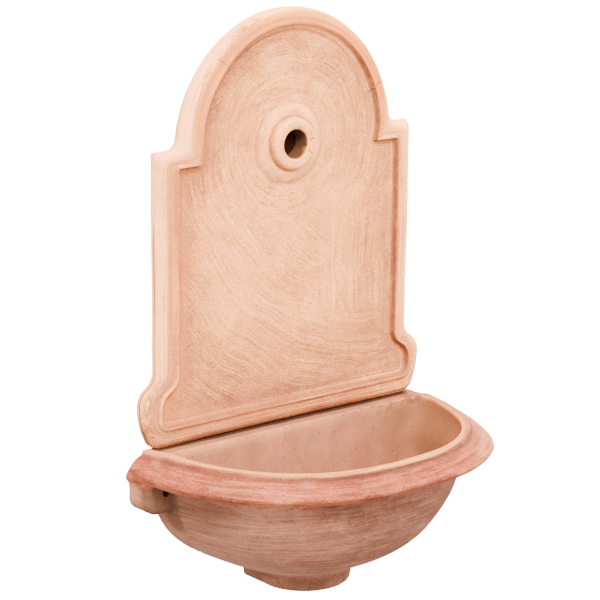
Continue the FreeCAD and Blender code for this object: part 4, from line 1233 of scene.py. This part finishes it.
def basin_masks(local):
    """Masks of the basin: its parts, then painted shade with some dirt, crust, pale edges with painted
    highlights, and tone.
    """
    x, back, z = local[:, 0], -local[:, 1], local[:, 2]
    out = rim_outset(local)
    shell = bowl_shell(local)
    level = z + ledge_fall(local)
    to_right = step(x, 60, 210)
    ledge = step(level, -4, -1.5) * step(back, 50, 42) * step(out, -2, -8)
    inner = step(out, 1.5, -1) * step(z, 3, -2) * (1 - shell) * (1 - ledge)
    lip = step(out, -3, -0.5) * step(out, 12.6 - 5 * to_right, 10.8 - 7 * to_right)
    lip *= step(level, -4.6, -2.6) * (1 - ledge)
    ear = step(np.abs(x), 198, 212) * step(z, -40, -46) * step(back, 60, 44)
    band = step(out, 12, 18) * step(z, -46, -40)
    foot = step(z, -198, -206)

    # Painted shade in the groove between the lip and the band, stronger on the left
    hollow_shade = bell(out, 14.6, 4.2 - 2 * to_right) * bell(level, -6.2, 4.2)
    hollow_shade *= 0.60 + 0.75 * step(x, -180, -60) - 0.6 * to_right
    # Painted shade with some dirt on the left lug's front under the rim, on the bowl below the band, and a
    # little on the foot
    shade_and_dirt = ear * step(x, 0, -50) * (0.3 + 0.7 * step(back, 18, 38)) + foot * 0.3
    shade_and_dirt += shell * bell(x, -214, 18) * bell(z, -72, 24) * 0.8
    shade_and_dirt += spot(x, z, (-244, -37), (12, 9)) * step(back, 18, 36) * (1 - shell) * 0.6
    crust = bell(back, 44, 12) * step(x, 70, 150) * bell(z, -3, 12) * 0.95
    crust += step(x, 190, 215) * step(back, 80, 30) * bell(z, -4, 10) * step(out, 12, 6) * 0.9
    ochre = inner * step(x, 130, 190) * step(z, -120, -20) * step(back, 210, 120) * 0.8
    # Pale lip, ledge edge and left lug side: painted highlight with wear
    highlight_and_wear = lip + bell(back, 40, 4) * bell(z, -6, 6) * (0.15 + 0.20 * step(x, 60, -60)) * (1 - shell)
    highlight_and_wear += spot(x, z, (-258, -52), (14, 16)) * ear * 0.4 * step(back, 34, 18)
    # Painted shadow on the ledge in the gap just in front of the panel's foot
    under = step(np.abs(x), 232, 224) * step(back, 18.8, 17.2) * step(z, -9, -6) * 0.9

    tone = 0.5 + 0.02 * inner * (step(x, 40, -120) - 1) - 0.045 * inner * to_right - 0.02 * ledge
    # Painted light from below: the lower bowl and the band's underside are paler; the bowl's left side is
    # paler and the foot darker
    tone += shell * (0.10 * step(x, -60, -170) + 0.11 * step(z, -120, -185) - 0.015) * (1 - foot)
    tone += 0.11 * step(z, -28, -33) * step(z, -56, -50) * step(out, 2, 10) * (1 - ear) - 0.05 * foot
    tone += 0.07 * ear * step(back, 30, 12) - 0.09 * spot(x, z, (-262, -34), (12, 9)) * step(back, 50, 20)
    tone += band * (0.015 * step(x, -90, -170) - 0.035 * step(x, -190, -230))
    tone += band * to_right * (0.13 - 0.06 * bell(out, 21, 5))
    tone -= band * (1 - to_right) * 0.05 * bell(out, 18.5, 4)
    tone += 0.08 * to_right * step(level, -5, -2) * step(out, 2, 6)
    return {"hollow_shade": hollow_shade, "inside": np.maximum(inner, ledge), "highlight_and_wear": highlight_and_wear, "shade_and_dirt": shade_and_dirt,
            "ochre": ochre, "crust": crust, "dark": hole_walls(x, back, z) + under, "tone": tone,
            "chalky": band + 0.7 * shell + ear, "shell": shell * step(z, -44, -52),
            "profile": profile_length(out, z) / PROFILE_SPAN}


# Pieces

panel = build_panel()
basin = build_basin()
wander(panel, 1)
wander(basin, 2)
paint_masks(panel, panel_masks)
paint_masks(basin, basin_masks)
smooth(panel, 60)
smooth(basin, 48)

for piece, material, node, material_slot in ((panel, panel_clay(), "back_panel", "panel_clay"),
                                             (basin, basin_clay(), "basin", "basin_clay")):
    piece.data.materials.clear()
    piece.data.materials.append(material)
    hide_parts(node)
    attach(piece, "root")


# Floor, light and camera

FLOOR_SIZE = 30
FLOOR_GAP = 6

# Camera fitted to the photograph's outline: angles in degrees, lengths in millimetres from the ledge
CAMERA_YAW = 39.56
CAMERA_PITCH = 14.16
CAMERA_ROLL = -0.53
CAMERA_AIM = (32.56, 0, 165.906)
CAMERA_DISTANCE = 3256.92
SENSOR = 36

# The same camera in pixels of the photograph's frame
FRAME_PIXELS = 600
FOCAL_PIXELS = 2319.8
AIM_PIXEL = (299.6, 298.0)


def staged(name, points, base, glow):
    """Flat piece of the studio with one plain tone."""
    data = bpy.data.meshes.new(name)
    data.from_pydata([tuple(p) for p in points], [], [tuple(range(len(points)))])
    n = Nodes(bpy.data.materials.new(name))
    data.materials.append(n.surface({"Base Color": base, "Roughness": 1.0, "Specular IOR Level": 0.0,
                                     "Emission Color": colour(1, 1, 1), "Emission Strength": glow}))
    piece = linked(name, data)
    return piece


def floor():
    """Pale floor below the foot; its glow doesn't light the clay."""
    size, depth = FLOOR_SIZE, (LEDGE - FOOT_LOW - FLOOR_GAP) * MM
    corners = [(-size, -size, depth), (size, -size, depth), (size, size, depth), (-size, size, depth)]
    piece = staged("plain_floor", corners, colour(0.8, 0.8, 0.8), FLOOR_GLOW)
    piece.visible_diffuse = False
    piece.visible_glossy = False


def wall_behind_bore():
    """Small dark disc on the wall plane, in place of the wall that shows through the bore; its near-black
    colour is painted shade on that wall.
    """
    disc = [(x, 0.4, z) for x, z in circle(BOSS_PROFILE[-1][0] + 4, 64)]
    staged("wall_behind_bore", place(disc), UMBER, 0.0)


def area_light(name, location, target, size, power):
    data = bpy.data.lights.new(name, "AREA")
    data.shape = "SQUARE"
    data.size = size
    data.energy = power
    data.color = LIGHT_TINT[:3]
    lamp = linked(name, data)
    lamp.location = location
    lamp.rotation_mode = "QUATERNION"
    lamp.rotation_quaternion = (Vector(target) - Vector(location)).to_track_quat("-Z", "Y")


def camera():
    """Camera at the photograph's angle: turned to the left, a little above the basin."""
    yaw, pitch, roll = [math.radians(angle) for angle in (CAMERA_YAW, CAMERA_PITCH, CAMERA_ROLL)]
    forward = Vector((math.sin(yaw) * math.cos(pitch), math.cos(yaw) * math.cos(pitch), -math.sin(pitch)))
    right = Vector((math.cos(yaw), -math.sin(yaw), 0))
    down = forward.cross(right)
    across = right * math.cos(roll) + down * math.sin(roll)
    below = down * math.cos(roll) - right * math.sin(roll)
    data = bpy.data.cameras.new("camera")
    data.sensor_width = SENSOR
    data.sensor_fit = "HORIZONTAL"
    data.lens = FOCAL_PIXELS / FRAME_PIXELS * SENSOR
    data.shift_x = 0.5 - AIM_PIXEL[0] / FRAME_PIXELS
    data.shift_y = AIM_PIXEL[1] / FRAME_PIXELS - 0.5
    data.clip_start, data.clip_end = 0.1, 100
    piece = linked("camera", data)
    eye = Vector(place([CAMERA_AIM])[0]) - forward * CAMERA_DISTANCE * MM
    turn = Matrix((across, -below, -forward)).transposed().to_4x4()
    piece.matrix_world = Matrix.Translation(eye) @ turn
    bpy.context.scene.camera = piece


def world():
    """Soft light from all round, stronger from above."""
    n = Nodes(bpy.data.worlds.new("studio"))
    rise = n.split(n.place("Generated"))[2]
    background = n.add("ShaderNodeBackground", {0: LIGHT_TINT, 1: n.span(rise, -0.4, 0.5, LOW_SKY, HIGH_SKY)})
    n.add("ShaderNodeOutputWorld", {0: background.outputs[0]})
    bpy.context.scene.world = n.owner


floor()
wall_behind_bore()
world()
area_light("key", (-1.5, -2.6, 3.0), (0, -0.1, 0.2), 1.6, 650)
area_light("fill", (2.4, -2.4, 1.6), (0, -0.1, 0.2), 2.5, 80)
camera()
